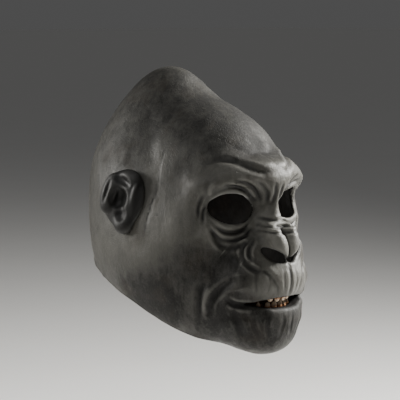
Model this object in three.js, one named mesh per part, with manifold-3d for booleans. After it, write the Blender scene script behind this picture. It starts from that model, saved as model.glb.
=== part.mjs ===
// A gorilla mask that goes over the whole head: one hollow soft shell with its own cast ears,
// two gum plates behind the lips and separate teeth.
// Millimetres, +Z up. The face looks towards -Y and the wearer's right side is at -X.
// The origin is where the top of the wearer's head sits inside the crown.
import * as THREE from 'three';
import { mergeVertices } from 'three/addons/utils/BufferGeometryUtils.js';
import Module from 'manifold-3d';

const wasm = await Module();
wasm.setup();

// Driving dimensions of the head
const HEAD_WIDTH = 176;
const HEAD_LENGTH = 254;
const HEAD_HEIGHT = 275;
const WALL = 3.5;
const GAP = 0.3;

// The seat of the wearer's head, from the eye line up and from the ear line back
const EYE_LINE_DROP = 118;
const SEAT_BACK = 15;

// Bottom rim, which rises to the back by its slope, and the arched cut-out at the nape
const RIM_DROP = 0.371 * HEAD_HEIGHT;
const RIM_SLOPE = (0.425 * HEAD_HEIGHT) / HEAD_LENGTH;
const NAPE_WIDTH = 100;
const NAPE_HEIGHT = 140;
const NAPE_DEPTH = 0.472 * HEAD_LENGTH;
const NAPE_BACK = 0.512 * HEAD_LENGTH;
const NAPE_DROP = 0.218 * HEAD_HEIGHT;

// Eye holes
const EYE_SPACING = 0.42 * HEAD_WIDTH;
const EYE_FORWARD = 0.366 * HEAD_LENGTH;
const EYE_RISE = 0.009 * HEAD_HEIGHT;
const EYE_HOLE_WIDTH = 46;
const EYE_HOLE_HEIGHT = 26;
const EYE_HOLE_DEPTH = 64;
const EYE_TOE_DEG = 21;
const EYE_SLANT_DEG = 14;

// Mouth slot between the lips
const MOUTH_WIDTH = 80;
const MOUTH_HEIGHT = 13;
const MOUTH_DROP = 0.322 * HEAD_HEIGHT;
const MOUTH_FORWARD = 0.441 * HEAD_LENGTH;
const MOUTH_DEPTH = 76;

// Nostrils, pierced through the wall
const NOSTRIL_SPACING = 26;
const NOSTRIL_FORWARD = 0.488 * HEAD_LENGTH;
const NOSTRIL_DROP = 0.156 * HEAD_HEIGHT;
const NOSTRIL_LENGTH = 28;
const NOSTRIL_HEIGHT = 10;
const NOSTRIL_DEPTH = 60;
const NOSTRIL_TOE_DEG = 22;
const NOSTRIL_SLANT_DEG = 26;

// Ears
const EAR_WIDTH = 40;
const EAR_HEIGHT = 60;
const EAR_DEPTH = 16;
const EAR_BACK = 14;
const EAR_RISE = 4;
const EAR_FLARE_DEG = 10;

// Gum plates: their free edges lie above and below the middle of the mouth slot
const GUM_THICKNESS = 9;
const GUM_HEIGHT = 14;
const UPPER_GUM_DROP = MOUTH_DROP - 4.5;
const LOWER_GUM_DROP = MOUTH_DROP + 7;
const GUM_SWEEP_DEG = 62;
const GUM_CENTRE_BACK = -0.276 * HEAD_LENGTH;

// Finishes
const SKIN_MATERIAL = { color: 0x35332f, roughness: 0.5, metalness: 0 };
const EAR_MATERIAL = { color: 0x1d1c1b, roughness: 0.4, metalness: 0 };
const GUM_MATERIAL = { color: 0x6e3416, roughness: 0.35, metalness: 0 };
const TOOTH_MATERIAL = { color: 0xd9bd8e, roughness: 0.3, metalness: 0 };

// Rows of a table as objects with the columns' names
const table = (columns, rows) =>
  rows.map((row) => Object.fromEntries(columns.map((column, i) => [column, row[i]])));
const FORM_COLUMNS = [
  'name', 'join', 'x', 'y', 'z', 'wide', 'long', 'tall', 'tilt', 'turn', 'roll', 'blend',
];

// Forms of the head. Places run from the eye line between the ears: x, wide and blend are shares
// of the head's width, y and long of its length, z and tall of its height. Each form stands on
// both sides, carves where join is false, and melts into the ones above it over its blend.
const HEAD_FORMS = table(FORM_COLUMNS, [
  ['cranium', true, 0, 0.085, 0, 0.495, 0.385, 0.305, 0, 0, 0, 0.01],
  ['crest', true, 0, 0.18, 0.265, 0.187, 0.125, 0.19, 13, 0, 0, 0.47],
  ['forehead', true, 0, -0.15, 0.145, 0.315, 0.235, 0.162, 28, 0, 0, 0.19],
  ['jowl', true, 0.26, 0.03, -0.205, 0.24, 0.3, 0.205, 0, 0, 0, 0.23],
  ['face', true, 0, -0.14, -0.11, 0.405, 0.23, 0.255, 0, 0, 0, 0.19],
  ['cheekbone', true, 0.24, -0.215, -0.065, 0.145, 0.085, 0.073, 0, 20, 0, 0.17],
  ['jaw', true, 0.125, -0.15, -0.355, 0.26, 0.23, 0.145, 0, 0, 0, 0.17],
  ['brow', true, 0.195, -0.34, 0.1, 0.215, 0.065, 0.047, 0, 28, 10, 0.115],
  ['glabella', true, 0, -0.395, 0.088, 0.115, 0.07, 0.068, 0, 0, 0, 0.08],
  ['muzzle', true, 0, -0.3, -0.247, 0.285, 0.21, 0.145, 0, 0, 0, 0.16],
  ['upper lip', true, 0, -0.39, -0.247, 0.19, 0.125, 0.083, 0, 0, 0, 0.1],
  ['lip side', true, 0.175, -0.37, -0.27, 0.09, 0.06, 0.053, 0, 30, 0, 0.08],
  ['chin', true, 0, -0.338, -0.4, 0.235, 0.165, 0.112, 24, 0, 0, 0.09],
  ['lower lip', true, 0, -0.388, -0.37, 0.19, 0.115, 0.035, 0, 0, 0, 0.1],
  ['nose bridge', true, 0, -0.38, -0.043, 0.075, 0.08, 0.12, -18, 0, 0, 0.09],
  ['nose wing', true, 0.125, -0.415, -0.157, 0.09, 0.06, 0.062, 0, 30, -20, 0.07],
  ['nose lobe', true, 0.045, -0.47, -0.123, 0.055, 0.055, 0.073, -12, 0, 14, 0.07],
  ['eye socket', false, 0.205, -0.43, 0.01, 0.15, 0.08, 0.062, 0, 22, 0, 0.07],
  ['lower lid', true, 0.205, -0.333, -0.047, 0.13, 0.047, 0.029, 0, 24, 0, 0.04],
  ['upper lid', true, 0.195, -0.335, 0.058, 0.125, 0.045, 0.025, 0, 24, 0, 0.04],
]);

// Creases of the face, each a smooth line through three points, with the same shares. Depth is in
// shares of the deepest crease and width in shares of the widest.
const CREASE_DEPTH = 3.5;
const CREASE_WIDTH = 9;
const CREASE_STEPS = 10;
const CREASE_FADE = 0.12;
const CREASES = table(['name', 'depth', 'width', 'points'], [
  ['brow furrow', 0.9, 0.4, [[0.26, -0.3, 0.158], [0.14, -0.39, 0.155], [0.03, -0.44, 0.14]]],
  ['eye bag', 0.7, 0.4, [[0.35, -0.32, -0.073], [0.24, -0.375, -0.127], [0.14, -0.4, -0.08]]],
  ['cheek fold', 0.7, 0.55, [[0.32, -0.32, -0.35], [0.29, -0.37, -0.295], [0.23, -0.425, -0.21]]],
  ['temple dip', 1, 1, [[0.31, 0.04, 0.315], [0.37, -0.03, 0.232], [0.42, -0.08, 0.148]]],
]);

// Forms of one ear in its own frame: x is the way out of the head, y to the back, z up. Places
// and radii are shares of the ear's depth, width and height, and the blend of its depth.
const EAR_FORMS = table(FORM_COLUMNS, [
  ['shell', true, 0.3, 0.02, 0.05, 0.5, 0.47, 0.45, 8, 0, 0, 0.01],
  ['lobe', true, 0.25, -0.12, -0.34, 0.45, 0.26, 0.16, 0, 0, 0, 0.4],
  ['bowl', false, 0.95, -0.04, 0.03, 0.75, 0.27, 0.27, 10, 0, 0, 0.15],
  ['inner fold', true, 0.4, -0.22, 0.08, 0.22, 0.06, 0.17, 12, 0, 0, 0.12],
  ['rim channel', false, 0.9, 0.3, 0.12, 0.3, 0.07, 0.26, 12, 0, 0, 0.12],
]);

// Teeth from the middle to the corner. At and wide are shares of the gum's sweep, tall is a share
// of the way between the two gums, and tip is the width near the top against the root's.
const TOOTH_COLUMNS = ['name', 'at', 'wide', 'tall', 'tip'];
const LOWER_TEETH = table(TOOTH_COLUMNS, [
  ['lower_incisor_middle', 0.075, 0.13, 0.56, 0.8],
  ['lower_incisor_outer', 0.225, 0.13, 0.52, 0.75],
  ['lower_canine', 0.42, 0.145, 0.64, 0.28],
]);
const UPPER_TEETH = table(TOOTH_COLUMNS, [
  ['upper_incisor_middle', 0.07, 0.115, 0.39, 0.8],
  ['upper_incisor_outer', 0.21, 0.115, 0.35, 0.75],
]);
const TOOTH_SIDES = 8;
const TOOTH_FLATNESS = 0.8;
const TOOTH_BULGE = 1.06;
const TOOTH_BULGE_RISE = 0.4;
const TOOTH_SHOULDER_RISE = 0.88;

// Mesh of the shell: columns per half round the head, from the face to the nape, and rows from
// the rim to the top. The inside takes every second one.
const COLUMN_BANDS = table(['to', 'steps'], [[60, 24], [130, 9], [180, 7]]);
const ROW_BANDS = table(['to', 'steps'], [[0.6, 30], [1, 9]]);
const INSIDE_STEP = 2;
const CORE_BACK = -10;
const CORE_DROP = 20;
const RAY_START = HEAD_HEIGHT;
const RAY_STEP = 0.6;
const RAY_PRECISION = 1e-3;
const RIM_SEARCH_TOP = 0.7;
const RIM_SEARCH_STEP = 0.02;
const EAR_COLUMNS = 22;
const EAR_ROWS_DEG = [30, 60, 85, 100, 108, 116, 124, 132, 140, 148, 157, 168];
const EAR_CORE_INSET = 4;
const OVAL_SIDES = 16;
const NAPE_SIDES = 32;
const WELD = 1e-5;

const radians = THREE.MathUtils.degToRad;

// Smooth minimum of two distances over a blend length
function melt(a, b, blend) {
  const h = Math.max(blend - Math.abs(a - b), 0) / blend;
  return Math.min(a, b) - (h * h * blend) / 4;
}

// A form's centre, radii and turned axes in millimetres
function placeForm(form, size) {
  const turned = new THREE.Euler(radians(form.tilt), radians(form.roll), radians(form.turn), 'ZYX');
  return {
    join: form.join,
    centre: new THREE.Vector3(form.x * size.x, form.y * size.y, form.z * size.z),
    radii: new THREE.Vector3(form.wide * size.x, form.long * size.y, form.tall * size.z),
    inverse: new THREE.Matrix4().makeRotationFromEuler(turned).invert(),
    blend: form.blend * size.x,
  };
}

// Rough distance to an ellipsoid, exact at its surface
const local = new THREE.Vector3();
const scaled = new THREE.Vector3();
function formDistance(form, point) {
  local.copy(point).sub(form.centre).applyMatrix4(form.inverse);
  const k0 = scaled.copy(local).divide(form.radii).length();
  const k1 = scaled.divide(form.radii).length() + 1e-9;
  return (k0 * (k0 - 1)) / k1;
}

// Distance to all forms of a table, joined and carved in order
function meltForms(forms, point) {
  let distance = formDistance(forms[0], point);
  for (const form of forms.slice(1)) {
    const next = formDistance(form, point);
    distance = form.join ? melt(distance, next, form.blend) : -melt(-distance, next, form.blend);
  }
  return distance;
}

const headSize = new THREE.Vector3(HEAD_WIDTH, HEAD_LENGTH, HEAD_HEIGHT);
const headForms = HEAD_FORMS.map((form) => placeForm(form, headSize));
const creaseLines = CREASES.map((crease) => ({
  depth: crease.depth * CREASE_DEPTH,
  width: crease.width * CREASE_WIDTH,
  line: new THREE.CatmullRomCurve3(
    crease.points.map(([x, y, z]) => new THREE.Vector3(x, y, z).multiply(headSize)),
  ).getPoints(CREASE_STEPS),
}));

// How far a crease pulls the surface in at a point, shallow towards both its ends
function creasePull(crease, point) {
  const last = crease.line.length - 1;
  let pull = 0;
  crease.line.forEach((spot, i) => {
    const fade = Math.sin(Math.PI * (CREASE_FADE + ((1 - 2 * CREASE_FADE) * i) / last));
    const away = spot.distanceTo(point) / crease.width;
    pull = Math.max(pull, crease.depth * fade * Math.exp(-away * away));
  });
  return pull;
}

// Distance to the outside of the head, negative inside
const folded = new THREE.Vector3();
function headDistance(point) {
  folded.set(Math.abs(point.x), point.y, point.z);
  let distance = meltForms(headForms, folded);
  for (const crease of creaseLines) distance += creasePull(crease, folded);
  return distance;
}

// Depth below the plane of the bottom rim, negative above it
const belowRim = (point) => RIM_SLOPE * point.y - RIM_DROP - point.z;

// Reach of a ray from a core out to the surface at a depth, found from outside
function castRay(core, direction, field, depth) {
  const point = new THREE.Vector3();
  const at = (reach) => field(point.copy(core).addScaledVector(direction, reach)) + depth;
  let inside = RAY_START;
  let outside = inside;
  while (inside > 0 && at(inside) > 0) {
    outside = inside;
    inside -= Math.max(at(inside) * 0.5, RAY_STEP);
  }
  while (outside - inside > RAY_PRECISION) {
    const middle = (inside + outside) / 2;
    if (at(middle) < 0) inside = middle;
    else outside = middle;
  }
  return inside;
}

const alongRay = (core, direction, reach) => core.clone().addScaledVector(direction, reach);

// Steps spread evenly inside each band, without the very first value
function bandSteps(bands) {
  const steps = [];
  let from = 0;
  for (const band of bands) {
    for (let i = 1; i <= band.steps; i += 1) steps.push(from + ((band.to - from) * i) / band.steps);
    from = band.to;
  }
  return steps;
}

// Direction from an azimuth, counted from the face, and an elevation
function headRay(azimuth, elevation) {
  const level = Math.cos(elevation);
  return new THREE.Vector3(Math.sin(azimuth) * level, -Math.cos(azimuth) * level, Math.sin(elevation));
}

const headCore = new THREE.Vector3(0, CORE_BACK, -CORE_DROP);
const halfColumns = bandSteps(COLUMN_BANDS).map(radians);
const columns = [0, ...halfColumns, ...halfColumns.slice(0, -1).reverse().map((a) => 2 * Math.PI - a)];
const rows = [0, ...bandSteps(ROW_BANDS).slice(0, -1)];
const topRay = new THREE.Vector3(0, 0, 1);

// Elevation at which a column's surface meets the rim, coming down from the top
function rimElevation(azimuth, depth) {
  const cut = (elevation) => {
    const direction = headRay(azimuth, elevation);
    return belowRim(alongRay(headCore, direction, castRay(headCore, direction, headDistance, depth))) > 0;
  };
  let above = RIM_SEARCH_TOP;
  while (!cut(above - RIM_SEARCH_STEP)) above -= RIM_SEARCH_STEP;
  let below = above - RIM_SEARCH_STEP;
  while (above - below > RAY_PRECISION / HEAD_LENGTH) {
    const middle = (above + below) / 2;
    if (cut(middle)) below = middle;
    else above = middle;
  }
  return above;
}

const rimAngles = columns.map((azimuth) => rimElevation(azimuth, 0));
const headRays = rows.map((row) =>
  columns.map((azimuth, c) => headRay(azimuth, rimAngles[c] + (Math.PI / 2 - rimAngles[c]) * row)),
);
const gridReach = (field, core, rays, depth) =>
  rays.map((ring) => ring.map((ray) => castRay(core, ray, field, depth)));

// Mesh data that grows ring by ring
class MeshBuilder {
  constructor() {
    this.points = [];
    this.faces = [];
  }

  add(point) {
    this.points.push(point);
    return this.points.length - 1;
  }

  ring(points) {
    return points.map((point) => this.add(point));
  }

  face(a, b, c, flip) {
    this.faces.push(flip ? [a, c, b] : [a, b, c]);
  }

  // Quads between two rings of the same length, the first below the second, each split along its
  // shorter diagonal
  join(low, high, flip = false) {
    low.forEach((a, i) => {
      const j = (i + 1) % low.length;
      const rising = this.points[a].distanceTo(this.points[high[j]]);
      const falling = this.points[low[j]].distanceTo(this.points[high[i]]);
      if (rising < falling) {
        this.face(a, low[j], high[j], flip);
        this.face(a, high[j], high[i], flip);
      } else {
        this.face(a, low[j], high[i], flip);
        this.face(low[j], high[j], high[i], flip);
      }
    });
  }

  // Fan from a ring up to one point
  cap(ring, tip, flip = false) {
    ring.forEach((a, i) => this.face(a, ring[(i + 1) % ring.length], tip, flip));
  }

  geometry() {
    const geometry = new THREE.BufferGeometry();
    const places = this.points.flatMap((point) => point.toArray());
    geometry.setAttribute('position', new THREE.Float32BufferAttribute(places, 3));
    geometry.setIndex(this.faces.flat());
    return geometry;
  }
}

// Closed body from rings of points between two end points
function closedBody(rings, lowEnd, highEnd) {
  const builder = new MeshBuilder();
  const loops = rings.map((ring) => builder.ring(ring));
  loops.slice(1).forEach((loop, i) => builder.join(loops[i], loop));
  builder.cap(loops[0], builder.add(lowEnd), true);
  builder.cap(loops.at(-1), builder.add(highEnd));
  return builder.geometry();
}

// Rings of points from rays and their reaches
const ringPoints = (core, rays, reaches, more = 0) =>
  rays.map((ring, r) => ring.map((ray, c) => alongRay(core, ray, reaches[r][c] + more)));

// Inside of the shell: every second ray, no nearer to the outside than the wall at any ray around it
function insideReaches(reaches) {
  const wrap = (c) => (c + columns.length) % columns.length;
  const around = [-1, 0, 1];
  return reaches.map((ring, r) =>
    ring.map((reach, c) => {
      const near = around.flatMap((dr) => around.map((dc) => (reaches[r + dr] ?? ring)[wrap(c + dc)]));
      return Math.min(...near);
    }),
  );
}

const everySecond = (list) => list.filter((_, i) => i % INSIDE_STEP === 0);
const outsideReach = gridReach(headDistance, headCore, headRays, 0);
const insideReach = insideReaches(gridReach(headDistance, headCore, headRays, WALL));
const topOutside = castRay(headCore, topRay, headDistance, 0);
const topInside = Math.min(castRay(headCore, topRay, headDistance, WALL), ...insideReach.at(-1));
const insideRays = everySecond(headRays).map(everySecond);
const insideGrid = everySecond(insideReach).map(everySecond);

// Rim of the inside, on the same cut as the rim of the outside
const insideRim = everySecond(columns).map((azimuth) => {
  const direction = headRay(azimuth, rimElevation(azimuth, WALL));
  return alongRay(headCore, direction, castRay(headCore, direction, headDistance, WALL));
});

// The open shell of the mask, before its holes are cut
function shellGeometry() {
  const builder = new MeshBuilder();
  const outside = ringPoints(headCore, headRays, outsideReach).map((ring) => builder.ring(ring));
  const insideRings = ringPoints(headCore, insideRays, insideGrid);
  insideRings[0] = insideRim;
  const inside = insideRings.map((ring) => builder.ring(ring));
  outside.slice(1).forEach((loop, i) => builder.join(outside[i], loop));
  inside.slice(1).forEach((loop, i) => builder.join(inside[i], loop, true));
  builder.cap(outside.at(-1), builder.add(alongRay(headCore, topRay, topOutside)));
  builder.cap(inside.at(-1), builder.add(alongRay(headCore, topRay, topInside)), true);
  const outer = outside[0];
  inside[0].forEach((start, k) => {
    const end = inside[0][(k + 1) % inside[0].length];
    const first = outer[2 * k];
    const middle = outer[2 * k + 1];
    const last = outer[(2 * k + 2) % outer.length];
    builder.face(middle, first, start);
    builder.face(middle, start, end);
    builder.face(last, middle, end);
  });
  return builder.geometry();
}

// A closed geometry as a solid that can be cut and joined
function solid(geometry) {
  const bare = geometry.clone();
  bare.deleteAttribute('normal');
  bare.deleteAttribute('uv');
  const merged = mergeVertices(bare, WELD);
  return new wasm.Manifold(
    new wasm.Mesh({
      numProp: 3,
      vertProperties: new Float32Array(merged.attributes.position.array),
      triVerts: new Uint32Array(merged.index.array),
    }),
  );
}

// A solid as a named mesh with its own finish
function meshOf(name, body, finish) {
  const result = body.getMesh();
  const geometry = new THREE.BufferGeometry();
  geometry.setAttribute('position', new THREE.BufferAttribute(new Float32Array(result.vertProperties), 3));
  geometry.setIndex(new THREE.BufferAttribute(new Uint32Array(result.triVerts), 1));
  geometry.computeVertexNormals();
  const mesh = new THREE.Mesh(geometry, new THREE.MeshStandardMaterial(finish));
  mesh.name = name;
  return mesh;
}

// An oval cutter with its full sizes, turned and put in place
function ovalCutter(size, place, turn = 0, slant = 0, sides = OVAL_SIDES) {
  const oval = new THREE.SphereGeometry(0.5, sides, sides / 2);
  oval.rotateX(Math.PI / 2);
  oval.scale(...size);
  oval.rotateY(radians(slant));
  oval.rotateZ(radians(turn));
  oval.translate(...place);
  return solid(oval);
}

// The mask's skin: the shell with its cut-out, eye holes, nostrils and mouth slot
function makeSkin() {
  const nape = [NAPE_WIDTH, NAPE_DEPTH, NAPE_HEIGHT];
  const mouth = [MOUTH_WIDTH, MOUTH_DEPTH, MOUTH_HEIGHT];
  const eye = [EYE_HOLE_WIDTH, EYE_HOLE_DEPTH, EYE_HOLE_HEIGHT];
  const nostril = [NOSTRIL_LENGTH, NOSTRIL_DEPTH, NOSTRIL_HEIGHT];
  const arch = ovalCutter(nape, [0, NAPE_BACK, -NAPE_DROP], 0, 0, NAPE_SIDES);
  const cutters = [
    wasm.Manifold.hull([arch, arch.translate(0, 0, -NAPE_HEIGHT)]),
    ovalCutter(mouth, [0, -MOUTH_FORWARD, -MOUTH_DROP]),
  ];
  for (const side of [-1, 1]) {
    const eyePlace = [(side * EYE_SPACING) / 2, -EYE_FORWARD, EYE_RISE];
    const nostrilPlace = [(side * NOSTRIL_SPACING) / 2, -NOSTRIL_FORWARD, -NOSTRIL_DROP];
    cutters.push(ovalCutter(eye, eyePlace, side * EYE_TOE_DEG, -side * EYE_SLANT_DEG));
    cutters.push(ovalCutter(nostril, nostrilPlace, side * NOSTRIL_TOE_DEG, -side * NOSTRIL_SLANT_DEG));
  }
  return cutters.reduce((skin, cutter) => skin.subtract(cutter), solid(shellGeometry()));
}

// The head as a full body whose surface stands off the skin's outside by a gap
function headBody(gap) {
  const top = alongRay(headCore, topRay, topOutside + gap);
  return solid(closedBody(ringPoints(headCore, headRays, outsideReach, gap), headCore, top));
}

// The hollow as a full body that keeps off the skin's inside by a distance
function hollowBody(inset) {
  const top = alongRay(headCore, topRay, topInside - inset);
  return solid(closedBody(ringPoints(headCore, insideRays, insideGrid, -inset), headCore, top));
}

// Place of the ear on the +X side: on the skin, with its own X square to the skin there
function earSeat() {
  const level = new THREE.Vector3(0, EAR_BACK, EAR_RISE);
  const outward = new THREE.Vector3(1, 0, 0);
  const seat = alongRay(level, outward, castRay(level, outward, headDistance, 0));
  const slope = (...axis) => {
    const step = new THREE.Vector3(...axis).multiplyScalar(GAP);
    return headDistance(seat.clone().add(step)) - headDistance(seat.clone().sub(step));
  };
  const normal = new THREE.Vector3(slope(1, 0, 0), slope(0, 1, 0), slope(0, 0, 1)).normalize();
  const back = new THREE.Vector3(0, 0, 1).cross(normal).normalize();
  const up = normal.clone().cross(back);
  return new THREE.Matrix4().makeBasis(normal, back, up).setPosition(seat);
}

// One ear on the +X side, before it is trimmed to the head
function earGeometry() {
  const size = new THREE.Vector3(EAR_DEPTH, EAR_WIDTH, EAR_HEIGHT);
  const forms = EAR_FORMS.map((form) => placeForm(form, size));
  const field = (point) => meltForms(forms, point);
  const core = new THREE.Vector3(-EAR_CORE_INSET, 0, 0);
  const rings = EAR_ROWS_DEG.map((polar) =>
    Array.from({ length: EAR_COLUMNS }, (_, c) => {
      const around = (2 * Math.PI * c) / EAR_COLUMNS;
      const out = radians(polar);
      const level = Math.sin(out);
      const ray = new THREE.Vector3(-Math.cos(out), Math.cos(around) * level, Math.sin(around) * level);
      return alongRay(core, ray, castRay(core, ray, field, 0));
    }),
  );
  const ends = [-1, 1].map((way) => {
    const ray = new THREE.Vector3(way, 0, 0);
    return alongRay(core, ray, castRay(core, ray, field, 0));
  });
  const ear = closedBody(rings, ...ends);
  ear.rotateZ(-radians(EAR_FLARE_DEG));
  return ear.applyMatrix4(earSeat());
}

// The largest of a solid's loose bodies
const largestBody = (body) => body.decompose().reduce((a, b) => (a.volume() > b.volume() ? a : b));

// Both ears, trimmed to sit on the skin
function makeEars() {
  const left = largestBody(solid(earGeometry()).subtract(headBody(GAP)));
  return [
    meshOf('ear_left', left, EAR_MATERIAL),
    meshOf('ear_right', left.mirror([1, 0, 0]), EAR_MATERIAL),
  ];
}

// One gum plate: a layer inside the skin, from its free edge to its other end
function makeGum(name, edgeDrop, endDrop) {
  const sector = new THREE.Shape();
  sector.moveTo(0, 0);
  for (const side of [-1, 1]) {
    const angle = radians(side * GUM_SWEEP_DEG);
    sector.lineTo(Math.sin(angle) * HEAD_LENGTH, -Math.cos(angle) * HEAD_LENGTH);
  }
  const block = new THREE.ExtrudeGeometry(sector, { depth: GUM_HEIGHT, bevelEnabled: false });
  block.translate(0, GUM_CENTRE_BACK, -Math.max(edgeDrop, endDrop));
  const layer = hollowBody(GAP).subtract(hollowBody(GAP + GUM_THICKNESS));
  return meshOf(name, layer.intersect(solid(block)), GUM_MATERIAL);
}

// How far out from the arch's centre the middle of a gum lies at an angle, just inside its edge
function gumReach(gum, angle, drop) {
  const start = new THREE.Vector3(0, GUM_CENTRE_BACK, -drop);
  const ray = new THREE.Vector3(Math.sin(angle), -Math.cos(angle), 0);
  gum.material.side = THREE.DoubleSide;
  gum.updateMatrixWorld();
  const hits = new THREE.Raycaster(start, ray).intersectObject(gum).map((hit) => hit.distance);
  return (Math.min(...hits) + Math.max(...hits)) / 2;
}

// One tooth that stands on its root, before it is turned and placed
function toothGeometry(tooth, width, height) {
  const radius = width / 2;
  const profile = [
    new THREE.Vector2(0, 0),
    new THREE.Vector2(radius, 0),
    new THREE.Vector2(radius * TOOTH_BULGE, height * TOOTH_BULGE_RISE),
    new THREE.Vector2(radius * tooth.tip, height * TOOTH_SHOULDER_RISE),
    new THREE.Vector2(0, height),
  ];
  const geometry = new THREE.LatheGeometry(profile, TOOTH_SIDES);
  geometry.rotateX(Math.PI / 2);
  return geometry.scale(1, TOOTH_FLATNESS, 1);
}

// A row of teeth on one gum plate, the same on both sides; way is 1 for teeth that point up
function makeTeeth(rows, gum, edgeDrop, way) {
  const sweep = radians(GUM_SWEEP_DEG);
  const teeth = [];
  for (const tooth of rows) {
    for (const side of [-1, 1]) {
      const angle = side * tooth.at * sweep;
      const reach = gumReach(gum, angle, edgeDrop + way * GAP);
      const width = tooth.wide * sweep * reach - GAP;
      const height = tooth.tall * (LOWER_GUM_DROP - UPPER_GUM_DROP);
      const shape = toothGeometry(tooth, width, height);
      if (way < 0) shape.rotateX(Math.PI);
      shape.rotateZ(angle);
      const mesh = meshOf(`${tooth.name}_${side < 0 ? 'right' : 'left'}`, solid(shape), TOOTH_MATERIAL);
      mesh.position.set(0, GUM_CENTRE_BACK, way * GAP - edgeDrop);
      mesh.position.addScaledVector(new THREE.Vector3(Math.sin(angle), -Math.cos(angle), 0), reach);
      teeth.push(mesh);
    }
  }
  return teeth;
}

const mask = new THREE.Group();
mask.position.set(0, -SEAT_BACK, -EYE_LINE_DROP);
const upperGum = makeGum('upper_gum', UPPER_GUM_DROP, UPPER_GUM_DROP - GUM_HEIGHT);
const lowerGum = makeGum('lower_gum', LOWER_GUM_DROP, LOWER_GUM_DROP + GUM_HEIGHT);
mask.add(meshOf('mask_skin', makeSkin(), SKIN_MATERIAL), ...makeEars(), upperGum, lowerGum);
mask.add(...makeTeeth(LOWER_TEETH, lowerGum, LOWER_GUM_DROP, 1));
mask.add(...makeTeeth(UPPER_TEETH, upperGum, UPPER_GUM_DROP, -1));

export default mask;
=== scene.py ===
"""A gorilla mask that goes over the whole head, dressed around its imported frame."""
import logging
import math
from collections.abc import Callable
from dataclasses import dataclass
from enum import Enum

import bmesh
import bpy
import numpy as np
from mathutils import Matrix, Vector

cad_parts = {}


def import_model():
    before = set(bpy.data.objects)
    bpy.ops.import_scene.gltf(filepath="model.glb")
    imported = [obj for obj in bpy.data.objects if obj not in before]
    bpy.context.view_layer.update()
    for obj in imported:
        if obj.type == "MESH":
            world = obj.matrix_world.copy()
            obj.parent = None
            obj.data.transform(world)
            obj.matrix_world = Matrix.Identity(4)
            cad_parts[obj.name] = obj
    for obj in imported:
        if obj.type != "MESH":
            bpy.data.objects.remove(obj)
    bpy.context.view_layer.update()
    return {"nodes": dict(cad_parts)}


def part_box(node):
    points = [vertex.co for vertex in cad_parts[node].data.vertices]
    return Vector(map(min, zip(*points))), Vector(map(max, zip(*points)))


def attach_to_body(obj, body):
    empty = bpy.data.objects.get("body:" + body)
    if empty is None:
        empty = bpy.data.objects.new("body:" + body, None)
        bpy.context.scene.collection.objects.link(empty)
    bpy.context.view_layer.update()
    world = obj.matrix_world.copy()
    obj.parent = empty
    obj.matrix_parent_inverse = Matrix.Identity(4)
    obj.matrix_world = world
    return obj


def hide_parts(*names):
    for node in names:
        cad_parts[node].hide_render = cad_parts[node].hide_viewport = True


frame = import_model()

log = logging.getLogger("gorilla_mask")

MM = 0.001
FLOAT = np.float32
Field = Callable[[np.ndarray], np.ndarray]

# The head's named sizes and the skin's thickness in millimetres
HEAD_WIDTH = 176.0
HEAD_LENGTH = 254.0
HEAD_HEIGHT = 275.0
HEAD_SIZE = (HEAD_WIDTH, HEAD_LENGTH, HEAD_HEIGHT)
WALL = 3.5
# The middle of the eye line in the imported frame; all forms are placed from it
EYE_LINE = (0.0, -15.0, -118.0)
# The place inside the head that rays to the surface start from
CORE = (0.0, -10.0, -20.0)


class Side(Enum):
    """Which half of the face a crease lies on; the wearer's right is at -X."""

    BOTH = 0
    RIGHT = -1
    LEFT = 1


def melt(a: np.ndarray, b: np.ndarray, blend: float) -> np.ndarray:
    """Joins two distance fields with a soft seam.

    Args:
        a: First distances.
        b: Second distances.
        blend: Length over which they melt together.

    Returns:
        The joined distances.
    """
    near = np.maximum(blend - np.abs(a - b), 0) / blend
    return np.minimum(a, b) - near * near * (blend / 4)


def carve(a: np.ndarray, b: np.ndarray, blend: float) -> np.ndarray:
    """Takes the body b out of the body a, with a soft edge of the blend's length."""
    return -melt(-a, b, blend)


def melt_max(a: np.ndarray, b: np.ndarray, blend: float) -> np.ndarray:
    """Returns what two bodies share, with a round edge of the blend's length."""
    return -melt(-a, -b, blend)


@dataclass(frozen=True)
class Form:
    """An ellipsoid of flesh in shares of a size, turned and blended into the ones before it."""

    name: str
    join: bool
    x: float
    y: float
    z: float
    wide: float
    long: float
    tall: float
    tilt: float
    turn: float
    roll: float
    blend: float

    def axes(self) -> np.ndarray:
        """Returns the form's turned axes as the columns of a matrix."""
        a, b, c = np.radians([self.tilt, self.roll, self.turn])
        tilt = np.array([[1, 0, 0], [0, np.cos(a), -np.sin(a)], [0, np.sin(a), np.cos(a)]])
        roll = np.array([[np.cos(b), 0, np.sin(b)], [0, 1, 0], [-np.sin(b), 0, np.cos(b)]])
        turn = np.array([[np.cos(c), -np.sin(c), 0], [np.sin(c), np.cos(c), 0], [0, 0, 1]])
        return (turn @ roll @ tilt).astype(FLOAT)

    def distance(self, points: np.ndarray, size: tuple[float, float, float]) -> np.ndarray:
        """Measures points against the form.

        Args:
            points: Places as three rows.
            size: The lengths that the shares follow.

        Returns:
            Distances, exact at the surface and negative inside.
        """
        centre = np.array([self.x, self.y, self.z], FLOAT) * np.array(size, FLOAT)
        radii = np.array([self.wide, self.long, self.tall], FLOAT) * np.array(size, FLOAT)
        local = points - centre[:, None]
        if self.tilt or self.turn or self.roll:
            local = self.axes().T @ local
        local /= radii[:, None]
        k0 = np.sqrt(np.einsum("ij,ij->j", local, local))
        local /= radii[:, None]
        k1 = np.sqrt(np.einsum("ij,ij->j", local, local)) + FLOAT(1e-6)
        return k0 * (k0 - 1) / k1


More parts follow.
